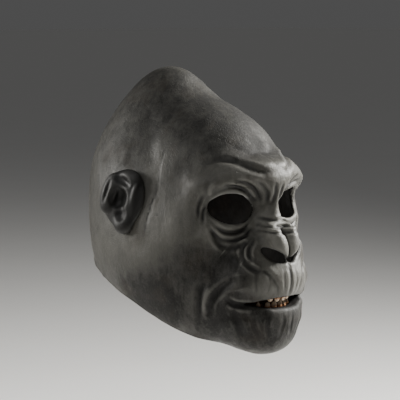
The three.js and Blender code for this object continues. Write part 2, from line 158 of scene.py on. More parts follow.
def melt_forms(forms: tuple[Form, ...], points: np.ndarray, size: tuple[float, float, float]) -> np.ndarray:
    """Joins and carves a table of forms in order.

    Args:
        forms: The table.
        points: Places as three rows.
        size: The lengths that the shares follow.

    Returns:
        Distances to the finished body.
    """
    total = forms[0].distance(points, size)
    for form in forms[1:]:
        distance = form.distance(points, size)
        blend = form.blend * size[0]
        total = melt(total, distance, blend) if form.join else carve(total, distance, blend)
    return total


HEAD_FORMS = (
    Form("cranium", True, 0, 0.085, 0, 0.495, 0.385, 0.305, 0, 0, 0, 0.01),
    Form("crest", True, 0, 0.18, 0.265, 0.187, 0.125, 0.19, 13, 0, 0, 0.47),
    Form("forehead", True, 0, -0.15, 0.145, 0.315, 0.235, 0.162, 28, 0, 0, 0.19),
    Form("jowl", True, 0.26, 0.03, -0.205, 0.24, 0.3, 0.205, 0, 0, 0, 0.23),
    Form("face", True, 0, -0.14, -0.11, 0.405, 0.23, 0.255, 0, 0, 0, 0.19),
    Form("cheekbone", True, 0.24, -0.215, -0.065, 0.145, 0.085, 0.073, 0, 20, 0, 0.17),
    Form("jaw", True, 0.125, -0.15, -0.355, 0.26, 0.23, 0.145, 0, 0, 0, 0.17),
    Form("brow", True, 0.195, -0.34, 0.1, 0.215, 0.065, 0.047, 0, 28, 10, 0.115),
    Form("glabella", True, 0, -0.395, 0.088, 0.115, 0.07, 0.068, 0, 0, 0, 0.08),
    Form("muzzle", True, 0, -0.3, -0.247, 0.285, 0.21, 0.145, 0, 0, 0, 0.16),
    Form("upper lip", True, 0, -0.39, -0.247, 0.19, 0.125, 0.083, 0, 0, 0, 0.1),
    Form("lip side", True, 0.175, -0.37, -0.27, 0.09, 0.06, 0.053, 0, 30, 0, 0.08),
    Form("chin", True, 0, -0.338, -0.4, 0.235, 0.165, 0.112, 24, 0, 0, 0.09),
    Form("lower lip", True, 0, -0.388, -0.37, 0.19, 0.115, 0.035, 0, 0, 0, 0.1),
    Form("nose bridge", True, 0, -0.38, -0.043, 0.075, 0.08, 0.12, -18, 0, 0, 0.09),
    Form("nose wing", True, 0.125, -0.415, -0.157, 0.09, 0.06, 0.062, 0, 30, -20, 0.05),
    Form("nose lobe", True, 0.045, -0.47, -0.123, 0.055, 0.055, 0.073, -12, 0, 14, 0.04),
    Form("eye socket", False, 0.205, -0.43, 0.01, 0.15, 0.08, 0.062, 0, 22, 0, 0.07),
    Form("lower lid", True, 0.205, -0.333, -0.047, 0.13, 0.047, 0.029, 0, 24, 0, 0.04),
    Form("upper lid", True, 0.195, -0.335, 0.058, 0.125, 0.045, 0.025, 0, 24, 0, 0.04),
)


@dataclass(frozen=True)
class Cutter:
    """An oval hole through the skin: full sizes, place and turn in millimetres and degrees."""

    name: str
    width: float
    depth: float
    height: float
    x: float
    y: float
    z: float
    turn: float
    slant: float
    edge: float
    pinch_from: float = 0.0
    pinch: float = 0.0

    def distance(self, points: np.ndarray) -> np.ndarray:
        """Measures points against the oval, which its pinch narrows to both sides.

        Args:
            points: Places as three rows.

        Returns:
            Distances, negative inside.
        """
        form = Form(self.name, False, self.x, self.y, self.z, self.width / 2, self.depth / 2,
                    self.height / 2, 0, self.turn, self.slant, 1)
        total = form.distance(points, (1.0, 1.0, 1.0))
        if self.pinch:
            total = total + self.pinch * np.maximum(np.abs(points[0] - self.x) - self.pinch_from, 0)
        return total


CUTTERS = (
    Cutter("eye hole", 46, 64, 28, 37, -93, 0.2, 21, -6, 4.0),
    Cutter("nostril", 28, 60, 10, 13, -124, -43, 22, -26, 3.0),
    Cutter("mouth", 80, 76, 11, 0, -112, -88.5, 0, 0, 3.0, 14, 0.15),
)


@dataclass(frozen=True)
class Crease:
    """A fold line of the skin.

    The path's points are a turn in degrees round from the middle of the face and a height in
    shares of the head's height. A negative depth raises a roll instead of a groove.
    """

    name: str
    depth: float
    width: float
    path: tuple[tuple[float, float], ...]
    side: Side = Side.BOTH


CREASES = (
    Crease("brow furrow", 1.9, 3.4, ((37, 0.158), (31, 0.166), (24, 0.161), (18, 0.15), (13, 0.137),
                                     (8, 0.126), (2, 0.133))),
    Crease("forehead roll", -1.2, 5.4, ((33, 0.18), (25, 0.18), (17, 0.17), (11, 0.153), (5, 0.148),
                                        (0, 0.157))),
    Crease("forehead line", 0.6, 2.6, ((22, 0.205), (15, 0.195), (8, 0.182), (0, 0.19))),
    Crease("inner lid fold", 2.0, 1.9, ((29, 0.083), (22, 0.077), (16, 0.057), (9, 0.028))),
    Crease("middle lid fold", 1.7, 1.8, ((24, 0.1), (17, 0.088), (11, 0.064), (7, 0.03))),
    Crease("brow root fold", 1.8, 1.9, ((11.5, 0.094), (8.5, 0.076), (5.6, 0.052), (4, 0.02))),
    Crease("brow stem", 1.8, 1.7, ((2.6, 0.082), (1.8, 0.05), (2.4, 0.014))),
    Crease("outer lid roll", -1.2, 2.2, ((36, 0.093), (38, 0.071), (38, 0.048))),
    Crease("upper lid edge", -1.3, 2.5, ((38, 0.012), (35, 0.042), (29, 0.06), (21, 0.056), (15, 0.034),
                                         (12.5, 0.008))),
    Crease("lower lid fold", 1.8, 2.0, ((38, -0.036), (34, -0.061), (28.5, -0.078), (22.5, -0.08),
                                        (17, -0.07), (14, -0.05))),
    Crease("eye bag", 1.5, 1.9, ((38.5, -0.054), (34.5, -0.087), (30, -0.104), (23.5, -0.108),
                                 (17.5, -0.096), (13.5, -0.075))),
    Crease("eye bag end", 2.0, 2.6, ((37, -0.076), (34, -0.106), (29.5, -0.126), (24, -0.129), (19, -0.115),
                                     (15, -0.095))),
    Crease("cheek roll", -0.9, 3.6, ((41.5, -0.044), (39.5, -0.078), (36.5, -0.112), (34, -0.14))),
    Crease("temple line", 1.0, 1.5, ((40.5, 0.012), (42, -0.01), (42, -0.042))),
    Crease("outer temple line", 0.9, 1.6, ((42, 0.05), (44.5, 0.014), (44.5, -0.028))),
    Crease("nose side pit", 3.2, 6.0, ((30, -0.143), (26, -0.164), (22, -0.178))),
    Crease("inner wing fold", 2.2, 1.9, ((14.5, -0.1), (18, -0.126), (19, -0.15), (18.3, -0.168))),
    Crease("outer wing fold", 2.8, 2.2, ((19.5, -0.117), (21.5, -0.143), (21.4, -0.167), (18.8, -0.19),
                                         (15.4, -0.207))),
    Crease("lip fold", 1.2, 2.4, ((13.5, -0.203), (11, -0.215), (9, -0.237), (7, -0.262), (6.4, -0.286))),
    Crease("nose groove", 1.9, 1.9, ((0, -0.075), (0, -0.105), (0, -0.15), (0, -0.185))),
    Crease("philtrum", 1.3, 1.7, ((0, -0.2), (0, -0.245), (0, -0.29))),
    Crease("bridge fold", 1.4, 1.7, ((9, -0.058), (4, -0.062), (0, -0.064))),
    Crease("lower bridge fold", 1.0, 1.6, ((10, -0.075), (5, -0.08), (0, -0.084))),
    Crease("upper bridge fold", 1.2, 1.7, ((7.5, -0.034), (4, -0.039), (0, -0.043))),
    Crease("jowl fold", 2.1, 3.4, ((41, -0.25), (43, -0.27), (44, -0.3), (44.5, -0.33), (44, -0.385))),
    Crease("cheek fold", 2.3, 3.0, ((26, -0.238), (31, -0.262), (35, -0.289), (38, -0.32), (39, -0.36))),
    Crease("fold crest", -1.2, 3.6, ((36, -0.262), (39.5, -0.288), (41, -0.32), (41.5, -0.365))),
    Crease("muzzle side", -2.2, 7.0, ((24, -0.205), (24, -0.245), (23, -0.28))),
    Crease("mouth line", 3.2, 2.6, ((29, -0.309), (25, -0.321), (21, -0.325), (17, -0.326))),
    Crease("chin side", 1.1, 3.2, ((25.5, -0.335), (24.5, -0.37), (22.5, -0.405), (20, -0.44))),
    Crease("temple dip", 1.5, 11.0, ((116, 0.32), (104, 0.272), (94, 0.222), (88, 0.172), (85, 0.12))),
    Crease("chin line", 0.5, 1.9, ((17.5, -0.36), (16.5, -0.395), (13, -0.44))),
    Crease("inner chin line", 0.45, 1.7, ((10, -0.36), (10.5, -0.4), (8, -0.45))),
    Crease("middle chin line", 0.45, 1.8, ((3, -0.36), (2.5, -0.395), (3.5, -0.44))),
    Crease("lip line", 0.45, 1.4, ((11, -0.225), (10.5, -0.25), (11.5, -0.285))),
    Crease("outer lip line", 0.45, 1.5, ((16, -0.215), (16.5, -0.245), (16, -0.28))),
    Crease("inner lip line", 0.4, 1.3, ((3.6, -0.21), (3.8, -0.24), (3.4, -0.28))),
    Crease("side crack", 1.3, 1.1, ((75, 0.2), (77, 0.141), (76.5, 0.1), (76, 0.057), (77, 0.023),
                                    (78.5, -0.018), (80, -0.063), (81.5, -0.12)), Side.RIGHT),
    Crease("pin hole", 1.6, 1.5, ((71.6, -0.024), (71.8, -0.026)), Side.RIGHT),
)


# Lengths and heights of the skin's uneven waves in millimetres
RIPPLE_BANDS = ((46.0, 0.12), (19.0, 0.035))
RIPPLES_EACH = 3
RIPPLE_SPREAD = (0.8, 1.25)
RIPPLE_BEND = 1.7
RIPPLE_SEED = 11


def smooth_line(points: np.ndarray, steps: int) -> np.ndarray:
    """Draws a smooth line through points.

    Args:
        points: The points, one a row.
        steps: Pieces between two neighbouring points.

    Returns:
        Points along the line, one a row.
    """
    ends = np.vstack([2 * points[0] - points[1], points, 2 * points[-1] - points[-2]])
    line = []
    for a, b, c, d in zip(ends[:-3], ends[1:-2], ends[2:-1], ends[3:]):
        for t in np.arange(steps) / steps:
            line.append(0.5 * (2 * b + (c - a) * t + (2 * a - 5 * b + 4 * c - d) * t ** 2
                               + (3 * b - a - 3 * c + d) * t ** 3))
    line.append(points[-1])
    return np.array(line, FLOAT)


@dataclass(frozen=True)
class Ripple:
    """One wave of the skin's unevenness."""

    way: np.ndarray
    side: np.ndarray
    start: float
    rate: float
    height: float


def make_ripples() -> list[Ripple]:
    """Returns waves from broad to fine, in directions drawn from a fixed seed."""
    dice = np.random.default_rng(RIPPLE_SEED)
    ripples = []
    for length, height in RIPPLE_BANDS:
        for _ in range(RIPPLES_EACH):
            way, side = dice.normal(size=(2, 3))
            way /= np.linalg.norm(way)
            side /= np.linalg.norm(side)
            rate = 2 * math.pi / (length * dice.uniform(*RIPPLE_SPREAD))
            start = dice.uniform(0, length)
            ripples.append(Ripple(way.astype(FLOAT), side.astype(FLOAT), start, rate, height))
    return ripples


class HeadBody:
    """The head as a distance field: forms, creases, holes, wall and rim."""

    RIM_DROP = 102.0
    RIM_TILT = math.radians(24.7)
    RIM_EDGE = 1.5
    NAPE = Cutter("nape", 100, 120, 140, 0, 130, -60, 0, 0, 3.0)
    # The skin is thicker round the lips: how much, how far up and down, and from where forwards
    LIP_PAD = 4.0
    LIP_LINE = -88.5
    LIP_REACH = 15.0
    LIP_BACK = -78.0
    LIP_FADE = 20.0
    # A ray comes in from outside by a share of the distance at each step
    CAST_STEPS = 34
    CAST_SHARE = 0.8
    CREASE_CAST = 150.0
    CREASE_STEPS = 5
    # A crease fades at its ends, less far at the middle of the face, and swells beside its valley
    CREASE_SPAN = 4.0
    CREASE_END = 0.06
    MIDDLE_END = 0.1
    TAPER = 1.5
    VALLEY = 1.4
    SHOULDER = 0.3
    SHOULDER_AT = 1.9
    FINE = 1.2
    BROAD = 4.0
    INSIDE_FOLLOWS = 0.9
    # The worn edge of the nape bends out in uneven waves
    CURL_OUT = 2.6
    CURL_REACH = 10.0
    CURL_FRONT = 50.0
    CURL_LEAST = 0.62
    CURL_RATES = (0.31, 0.117)

    def __init__(self) -> None:
        """Places the crease lines on the finished surface."""
        self.lines = [self.place_crease(crease) for crease in CREASES]
        self.ripples = make_ripples()

    @staticmethod
    def folded(points: np.ndarray) -> np.ndarray:
        """Returns points mirrored onto the +X half."""
        half = points.copy()
        half[0] = np.abs(half[0])
        return half

    def plain(self, points: np.ndarray) -> np.ndarray:
        """Returns distances to the head without its creases."""
        return melt_forms(HEAD_FORMS, self.folded(points), HEAD_SIZE)

    def cast(self, origin: np.ndarray, rays: np.ndarray, reach: float) -> np.ndarray:
        """Finds where rays that come from outside meet the plain head.

        Args:
            origin: Starting places as three rows.
            rays: Unit directions as three rows.
            reach: Length at which the search starts.

        Returns:
            Lengths along the rays.
        """
        length = np.full(rays.shape[1], reach, FLOAT)
        for _ in range(self.CAST_STEPS):
            length -= self.plain(origin + rays * length) * self.CAST_SHARE
        return length

    def place_crease(self, crease: Crease) -> np.ndarray:
        """Puts a crease's path on the surface.

        Args:
            crease: The crease.

        Returns:
            Its line, one point a row, on the +X half.
        """
        path = smooth_line(np.array(crease.path, FLOAT), self.CREASE_STEPS)
        turn = np.radians(path[:, 0])
        rays = np.array([np.sin(turn), -np.cos(turn), np.zeros_like(turn)], FLOAT)
        rise = path[:, 1] * HEAD_HEIGHT
        origin = np.array([np.zeros_like(turn), np.full_like(turn, CORE[1]), rise], FLOAT)
        return (origin + rays * self.cast(origin, rays, self.CREASE_CAST)).T

    def crease_pull(self, crease: Crease, line: np.ndarray, points: np.ndarray) -> np.ndarray:
        """Works out how far one crease pulls the surface in.

        Args:
            crease: The crease.
            line: Its line on the surface.
            points: Places as three rows.

        Returns:
            The pull at each place, zero far away.
        """
        reach = self.CREASE_SPAN * crease.width
        low, high = line.min(0) - reach, line.max(0) + reach
        near = np.flatnonzero(np.all((points > low[:, None]) & (points < high[:, None]), axis=0))
        pull = np.zeros(points.shape[1], FLOAT)
        if not len(near):
            return pull
        spots = points[:, near]
        best = np.full(len(near), 1e9, FLOAT)
        share = np.zeros(len(near), FLOAT)
        last = len(line) - 1
        for i, (a, b) in enumerate(zip(line[:-1], line[1:])):
            along = b - a
            offset = spots - a[:, None]
            t = np.clip(along @ offset / (along @ along + 1e-9), 0, 1)
            away = offset - along[:, None] * t
            distance = np.einsum("ij,ij->j", away, away)
            closer = distance < best
            best = np.where(closer, distance, best)
            share = np.where(closer, (i + t) / last, share)
        away = np.sqrt(best) / crease.width
        in_middle = abs(line[0, 0]) < 1 and abs(line[-1, 0]) < 1
        end = self.MIDDLE_END if in_middle else self.CREASE_END
        taper = np.clip(np.sin(np.pi * (end + (1 - 2 * end) * share)) * self.TAPER, 0, 1)
        valley = np.exp(-away ** self.VALLEY)
        swollen = self.SHOULDER if self.FINE < crease.width < self.BROAD else 0.0
        shoulder = np.exp(-((away - self.SHOULDER_AT) ** 2)) * swollen
        pull[near] = crease.depth * taper * (valley - shoulder)
        return pull

    def creases(self, points: np.ndarray) -> np.ndarray:
        """Returns the pull of all creases at points, as three rows."""
        half = self.folded(points)
        total = np.zeros(points.shape[1], FLOAT)
        for crease, line in zip(CREASES, self.lines):
            pull = self.crease_pull(crease, line, half)
            if crease.side is not Side.BOTH:
                pull = np.where(points[0] * crease.side.value > 0, pull, 0)
            total += pull
        return total

    def wall(self, points: np.ndarray) -> np.ndarray:
        """Returns the skin's thickness, fuller round the lips."""
        rise = (points[2] - self.LIP_LINE) / self.LIP_REACH
        front = np.clip((self.LIP_BACK - points[1]) / self.LIP_FADE, 0, 1)
        return WALL + self.LIP_PAD * np.exp(-rise * rise) * front

    def bottom(self, points: np.ndarray) -> np.ndarray:
        """Returns distances below the slanting plane of the bottom rim."""
        drop = math.tan(self.RIM_TILT) * points[1] - self.RIM_DROP - points[2]
        return drop * math.cos(self.RIM_TILT)

    def rim(self, points: np.ndarray) -> np.ndarray:
        """Returns distances below the bottom rim or inside the nape cut-out."""
        arch = points.copy()
        arch[2] = np.maximum(arch[2], self.NAPE.z)
        return np.maximum(self.bottom(points), -self.NAPE.distance(arch))

    def relief(self, points: np.ndarray) -> np.ndarray:
        """Returns the small uneven pull of hand-modelled skin at points, as three rows."""
        total = np.zeros(points.shape[1], FLOAT)
        for ripple in self.ripples:
            phase = ripple.way @ points + ripple.start
            bend = ripple.side @ points * ripple.rate
            total += ripple.height * np.sin(phase * ripple.rate + RIPPLE_BEND * np.sin(bend))
        return total

    def curl(self, points: np.ndarray) -> np.ndarray:
        """Returns how far the worn edge of the nape cut-out bends outwards."""
        near = np.clip(1 + self.rim(points) / self.CURL_REACH, 0, 1) * (points[1] > self.CURL_FRONT)
        fine, coarse = self.CURL_RATES
        wave = np.sin(points[2] * fine) * np.sin(points[2] * coarse + 1)
        return self.CURL_OUT * near * near * (self.CURL_LEAST + (1 - self.CURL_LEAST) * wave)

    def outside(self, points: np.ndarray) -> np.ndarray:
        """Returns distances to the outside of the head with its creases."""
        return self.plain(points) + self.creases(points) + self.relief(points)

    def skin(self, points: np.ndarray) -> np.ndarray:
        """Returns distances to the mask's skin: a wall with holes and a cut rim."""
        plain, pull = self.plain(points), self.creases(points)
        pull += self.relief(points)
        plain = plain - self.curl(points)
        inner = plain + np.maximum(pull, 0) * self.INSIDE_FOLLOWS + self.wall(points)
        total = np.maximum(plain + pull, -inner)
        half = self.folded(points)
        for cutter in CUTTERS:
            total = carve(total, cutter.distance(half), cutter.edge)
        return melt_max(total, self.rim(points), self.RIM_EDGE)


@dataclass
class SkinLattice:
    """A lattice in a thick layer round the head: columns round it, rows up it, layers through it."""

    body: HeadBody
    front_columns: int = 110
    side_columns: int = 36
    back_columns: int = 46
    front_turn: float = 56.0
    side_turn: float = 132.0
    front_rows: int = 140
    top_rows: int = 34
    rows_below: int = 11
    front_share: float = 0.58
    top_share: float = 0.994
    depth: float = 24.0
    rise: float = 15.0
    layer: float = 1.35
    cast_from: float = 170.0
    softenings: int = 14
    lowest_try: int = -75
    highest_try: int = 31
    try_step: int = 3
    halvings: int = 6

    def columns(self) -> np.ndarray:
        """Returns the turns of all columns round the head, in radians."""
        half = np.concatenate([
            np.linspace(0, self.front_turn, self.front_columns, endpoint=False),
            np.linspace(self.front_turn, self.side_turn, self.side_columns, endpoint=False),
            np.linspace(self.side_turn, 180, self.back_columns, endpoint=False),
        ])
        return np.radians(np.concatenate([half, 360 - np.append(half[1:], 180)[::-1]])).astype(FLOAT)

    def shares(self) -> np.ndarray:
        """Returns the heights of all rows in shares of the way from the rim to the top."""
        low = np.linspace(0, self.front_share, self.front_rows, endpoint=False)
        high = np.linspace(self.front_share, self.top_share, self.top_rows)
        below = -np.arange(self.rows_below, 0, -1) * low[1]
        return np.concatenate([below, low, high]).astype(FLOAT)

    @staticmethod
    def rays(turn: np.ndarray, elevation: np.ndarray) -> np.ndarray:
        """Returns unit directions as three rows from turns and elevations."""
        level = np.cos(elevation)
        return np.array([np.sin(turn) * level, -np.cos(turn) * level, np.sin(elevation)], FLOAT)

    def rim_elevations(self, turn: np.ndarray) -> np.ndarray:
        """Finds where each column's surface meets the plane of the bottom rim.

        Args:
            turn: Turns of the columns.

        Returns:
            Elevations in radians.
        """
        core = np.array(CORE, FLOAT)[:, None]
        tries = np.radians(np.arange(self.lowest_try, self.highest_try, self.try_step)).astype(FLOAT)
        spread_turn = np.repeat(turn, len(tries))
        spread_tilt = np.tile(tries, len(turn))
        rays = self.rays(spread_turn, spread_tilt)
        points = core + rays * self.body.cast(core, rays, self.cast_from)
        beyond = (self.body.bottom(points) > 0).reshape(len(turn), len(tries))
        last = len(tries) - 1 - np.argmax(beyond[:, ::-1], axis=1)
        below = tries[last]
        above = below + math.radians(self.try_step)
        for _ in range(self.halvings):
            middle = (above + below) / 2
            rays = self.rays(turn, middle)
            points = core + rays * self.body.cast(core, rays, self.cast_from)
            cut = self.body.bottom(points) > 0
            below = np.where(cut, middle, below)
            above = np.where(cut, above, middle)
        return above

    def positions(self) -> np.ndarray:
        """Places the lattice.

        Returns:
            Places in an array of three by columns, rows and layers.
        """
        turn = self.columns()
        share = self.shares()
        rim = self.rim_elevations(turn)
        tilt = rim[:, None] + (math.pi / 2 - rim[:, None]) * share[None, :]
        core = np.array(CORE, FLOAT)[:, None]
        rays = self.rays(np.repeat(turn, len(share)), tilt.ravel())
        reach = self.body.cast(core, rays, self.cast_from).reshape(len(turn), len(share))
        reach = self.soften(reach)
        layers = np.arange(-self.depth, self.rise, self.layer).astype(FLOAT)
        lengths = reach[:, :, None] + layers
        grid = rays.reshape(3, len(turn), len(share))[:, :, :, None] * lengths[None]
        return (grid + core[:, :, None, None]).astype(FLOAT)

    def soften(self, reach: np.ndarray) -> np.ndarray:
        """Returns the reaches averaged with their neighbours a few times."""
        for _ in range(self.softenings):
            reach = (np.roll(reach, 1, 0) + 2 * reach + np.roll(reach, -1, 0)) / 4
            padded = np.pad(reach, ((0, 0), (1, 1)), mode="edge")
            reach = (padded[:, :-2] + 2 * reach + padded[:, 2:]) / 4
        return reach


def net_corners(values: np.ndarray, places: np.ndarray, cells: np.ndarray) -> np.ndarray:
    """Finds one corner in each crossed cell, the mean of the crossings on its edges.

    Args:
        values: Field values over three lattice directions.
        places: Places of the lattice points, with three rows first.
        cells: Lattice numbers of the crossed cells, one a row.

    Returns:
        Corner places, one a row.
    """
    total = np.zeros((3, len(cells)), FLOAT)
    crossings = np.zeros(len(cells), FLOAT)
    for axis in range(3):
        others = [a for a in range(3) if a != axis]
        for p in (0, 1):
            for q in (0, 1):
                start = cells.copy()
                start[:, others[0]] += p
                start[:, others[1]] += q
                end = start.copy()
                end[:, axis] += 1
                va, vb = values[tuple(start.T)], values[tuple(end.T)]
                cross = (va < 0) != (vb < 0)
                t = np.where(cross, va / np.where(cross, va - vb, 1), 0)
                pa, pb = places[(slice(None), *start.T)], places[(slice(None), *end.T)]
                total += np.where(cross, pa + (pb - pa) * t, 0)
                crossings += cross
    return (total / crossings).T


def net_quads(inside: np.ndarray, numbers: np.ndarray, round_first: bool) -> np.ndarray:
    """Joins the corners of the four cells round each crossed lattice edge.

    Args:
        inside: Whether each lattice point lies inside.
        numbers: Corner number of each cell.
        round_first: Whether the first direction closes on itself.

    Returns:
        Quads of corner numbers, one a row.
    """
    quads = []
    for axis in range(3):
        one, two = [(1, 2), (2, 0), (0, 1)][axis]
        lower = [slice(None)] * 3
        upper = [slice(None)] * 3
        lower[axis] = slice(0, -1)
        upper[axis] = slice(1, None)
        a, b = inside[tuple(lower)], inside[tuple(upper)]
        wrap = round_first and axis != 0
        for spot in [np.argwhere(a & ~b), np.argwhere(~a & b)]:
            leaving = a[tuple(spot.T)]
            keep = (spot[:, one] > 0) | (wrap and one == 0)
            keep &= (spot[:, two] > 0) | (wrap and two == 0)
            for side in (one, two):
                keep &= spot[:, side] < numbers.shape[side]
            spot, leaving = spot[keep], leaving[keep]
            around = []
            for p, q in ((-1, -1), (0, -1), (0, 0), (-1, 0)):
                cell = spot.copy()
                cell[:, one] += p
                cell[:, two] += q
                if wrap:
                    cell[:, 0] %= numbers.shape[0]
                around.append(numbers[tuple(cell.T)])
            quad = np.stack(around, axis=1)
            quads.append(np.where(leaving[:, None], quad, quad[:, ::-1]))
    return np.concatenate(quads)


def net_surface(values: np.ndarray, places: np.ndarray, round_first: bool) -> tuple[np.ndarray, np.ndarray]:
    """Wraps the zero level of a lattice in quads, one corner in each cell that it crosses.

    Args:
        values: Field values over three lattice directions.
        places: Places of the lattice points, with three rows first.
        round_first: Whether the first direction closes on itself.

    Returns:
        Corner places, one a row, and quads of corner numbers.
    """
    if round_first:
        values = np.concatenate([values, values[:1]], axis=0)
        places = np.concatenate([places, places[:, :1]], axis=1)
    inside = values < 0
    count = np.zeros(tuple(n - 1 for n in values.shape), np.int8)
    for di in (0, 1):
        for dj in (0, 1):
            for dk in (0, 1):
                count += inside[di:count.shape[0] + di, dj:count.shape[1] + dj, dk:count.shape[2] + dk]
    cells = np.argwhere((count > 0) & (count < 8))
    numbers = np.full(count.shape, -1, np.int64)
    numbers[tuple(cells.T)] = np.arange(len(cells))
    return net_corners(values, places, cells), net_quads(inside, numbers, round_first)


PROBE = 0.3
PULLS = 2


def pull_to_surface(corners: np.ndarray, field: Field, steps: int, most: float) -> np.ndarray:
    """Slides corners onto the zero level of a field.

    Args:
        corners: Places, one a row.
        field: Function of places as three rows.
        steps: How often each corner moves.
        most: Longest move in one step.

    Returns:
        The new places.
    """
    probe = FLOAT(PROBE)
    for _ in range(steps):
        rows = corners.T.astype(FLOAT)
        slope = np.empty_like(rows)
        for axis in range(3):
            ahead, behind = rows.copy(), rows.copy()
            ahead[axis] += probe
            behind[axis] -= probe
            slope[axis] = (field(ahead) - field(behind)) / (2 * probe)
        steep = np.einsum("ij,ij->j", slope, slope) + 1e-3
        move = np.clip(field(rows) / np.sqrt(steep), -most, most) / np.sqrt(steep)
        corners = (rows - slope * move).T
    return corners


def wrap_body(field: Field, spans: list[np.ndarray]) -> tuple[np.ndarray, np.ndarray]:
    """Wraps a small body in quads.

    Args:
        field: Function of places as three rows.
        spans: Lattice places along each direction.

    Returns:
        Corner places, one a row, and quads of corner numbers.
    """
    places = np.stack(np.meshgrid(*spans, indexing="ij")).astype(FLOAT)
    values = field(places.reshape(3, -1)).reshape(places.shape[1:])
    corners, faces = net_surface(values, places, False)
    return pull_to_surface(corners, field, PULLS, 0.5), faces


def make_object(name: str, corners: np.ndarray, faces: list) -> bpy.types.Object:
    """Makes a smooth mesh object whose place is in its mesh.

    Args:
        name: The object's name.
        corners: Places in millimetres from the eye line, one a row.
        faces: Corner numbers of each face.

    Returns:
        The object, linked to the scene.
    """
    mesh = bpy.data.meshes.new(name)
    mesh.from_pydata(((corners + np.array(EYE_LINE)) * MM).tolist(), [], faces)
    mesh.shade_smooth()
    piece = bpy.data.objects.new(name, mesh)
    bpy.context.scene.collection.objects.link(piece)
    return piece


def keep_largest(piece: bpy.types.Object) -> None:
    """Removes loose crumbs beside a piece's main body and turns its faces outwards."""
    shape = bmesh.new()
    shape.from_mesh(piece.data)
    left = set(shape.verts)
    bodies = []
    while left:
        body, front = set(), [left.pop()]
        while front:
            vert = front.pop()
            body.add(vert)
            for edge in vert.link_edges:
                other = edge.other_vert(vert)
                if other in left:
                    left.discard(other)
                    front.append(other)
        bodies.append(body)
    bodies.sort(key=len)
    bmesh.ops.delete(shape, geom=[v for body in bodies[:-1] for v in body], context="VERTS")
    bmesh.ops.recalc_face_normals(shape, faces=shape.faces)
    shape.to_mesh(piece.data)
    shape.free()


def corner_places(piece: bpy.types.Object) -> np.ndarray:
    """Returns a piece's corners in millimetres from the eye line, one a row."""
    flat = np.empty(len(piece.data.vertices) * 3, FLOAT)
    piece.data.vertices.foreach_get("co", flat)
    return flat.reshape(-1, 3) / MM - np.array(EYE_LINE, FLOAT)


def corner_normals(piece: bpy.types.Object) -> np.ndarray:
    """Returns a piece's corner normals, one a row."""
    flat = np.empty(len(piece.data.vertices) * 3, FLOAT)
    piece.data.vertex_normals.foreach_get("vector", flat)
    return flat.reshape(-1, 3)


def hollow_depth(piece: bpy.types.Object, rounds: int) -> np.ndarray:
    """Measures how deep each corner lies in a dent, by comparing the mesh with its softened self.

    Args:
        piece: The object.
        rounds: How often the copy is softened; more find wider dents.

    Returns:
        Depth in millimetres, negative on bumps.
    """
    edges = np.empty(len(piece.data.edges) * 2, np.int64)
    piece.data.edges.foreach_get("vertices", edges)
    a, b = edges.reshape(-1, 2).T
    places = corner_places(piece).astype(np.float64)
    count = np.bincount(a, minlength=len(places)) + np.bincount(b, minlength=len(places))
    soft = places.copy()
    for _ in range(rounds):
        total = np.stack([
            np.bincount(a, soft[b, axis], len(places)) + np.bincount(b, soft[a, axis], len(places))
            for axis in range(3)
        ], axis=1)
        soft = (soft + total / np.maximum(count, 1)[:, None]) / 2
    return np.einsum("ij,ij->i", soft - places, corner_normals(piece)).astype(FLOAT)


def store(piece: bpy.types.Object, name: str, values: np.ndarray) -> None:
    """Keeps one value a corner in the mesh, for the finishes.

    Args:
        piece: The object.
        name: Name of the layer.
        values: One value a corner.
    """
    layer = piece.data.attributes.new(name, "FLOAT", "POINT")
    layer.data.foreach_set("value", values.astype(FLOAT))


@dataclass(frozen=True)
class PaintAndLightPatch:
    """A soft patch of darker or paler colour, placed as the creases are; some patches are the paint's own
    tone, others painted highlights and painted shade; tone runs from 0 to 1.
    """

    name: str
    turn: float
    rise: float
    wide: float
    tall: float
    tone: float


PLAIN_TONE = 0.4
PLAIN_WEIGHT = 0.12
# The patches carry painted light as well as paint tone: the pale ones on the brow, eyes, nose, upper lip,
# cheek sides and behind the cheeks are painted highlights, the dark ones on the lower cheeks, beside the
# nose, on the jaw and on the chin are painted shade, and the others mix paint tone with painted light and
# shade.
PAINT_AND_LIGHT_PATCHES = (
    PaintAndLightPatch("crown", 40, 0.37, 90, 0.1, 0.05),
    PaintAndLightPatch("crown back", 120, 0.34, 40, 0.1, 0.15),
    PaintAndLightPatch("forehead", 18, 0.2, 22, 0.045, 0.12),
    PaintAndLightPatch("brow", 10, 0.12, 20, 0.035, 1.2),
    PaintAndLightPatch("temple", 56, 0.12, 16, 0.08, 0.6),
    PaintAndLightPatch("temple edge", 80, 0.12, 10, 0.1, 0.8),
    PaintAndLightPatch("back", 128, 0.08, 26, 0.16, 0.5),
    PaintAndLightPatch("nape", 125, -0.12, 26, 0.1, 0.7),
    PaintAndLightPatch("behind cheek", 86, -0.1, 18, 0.1, 1.2),
    PaintAndLightPatch("cheek side", 60, -0.03, 14, 0.07, 1.1),
    PaintAndLightPatch("eye", 28, -0.06, 14, 0.06, 1.3),
    PaintAndLightPatch("nose", 3, -0.1, 9, 0.07, 1.8),
    PaintAndLightPatch("nose side", 20, -0.14, 8, 0.05, 0.35),
    PaintAndLightPatch("upper lip", 0, -0.25, 12, 0.05, 1.8),
    PaintAndLightPatch("cheek low", 46, -0.2, 16, 0.07, 0.0),
    PaintAndLightPatch("jaw", 62, -0.31, 30, 0.07, 0.08),
    PaintAndLightPatch("chin", 8, -0.41, 30, 0.06, 0.05),
    PaintAndLightPatch("lower lip", 8, -0.36, 20, 0.02, 0.15),
)


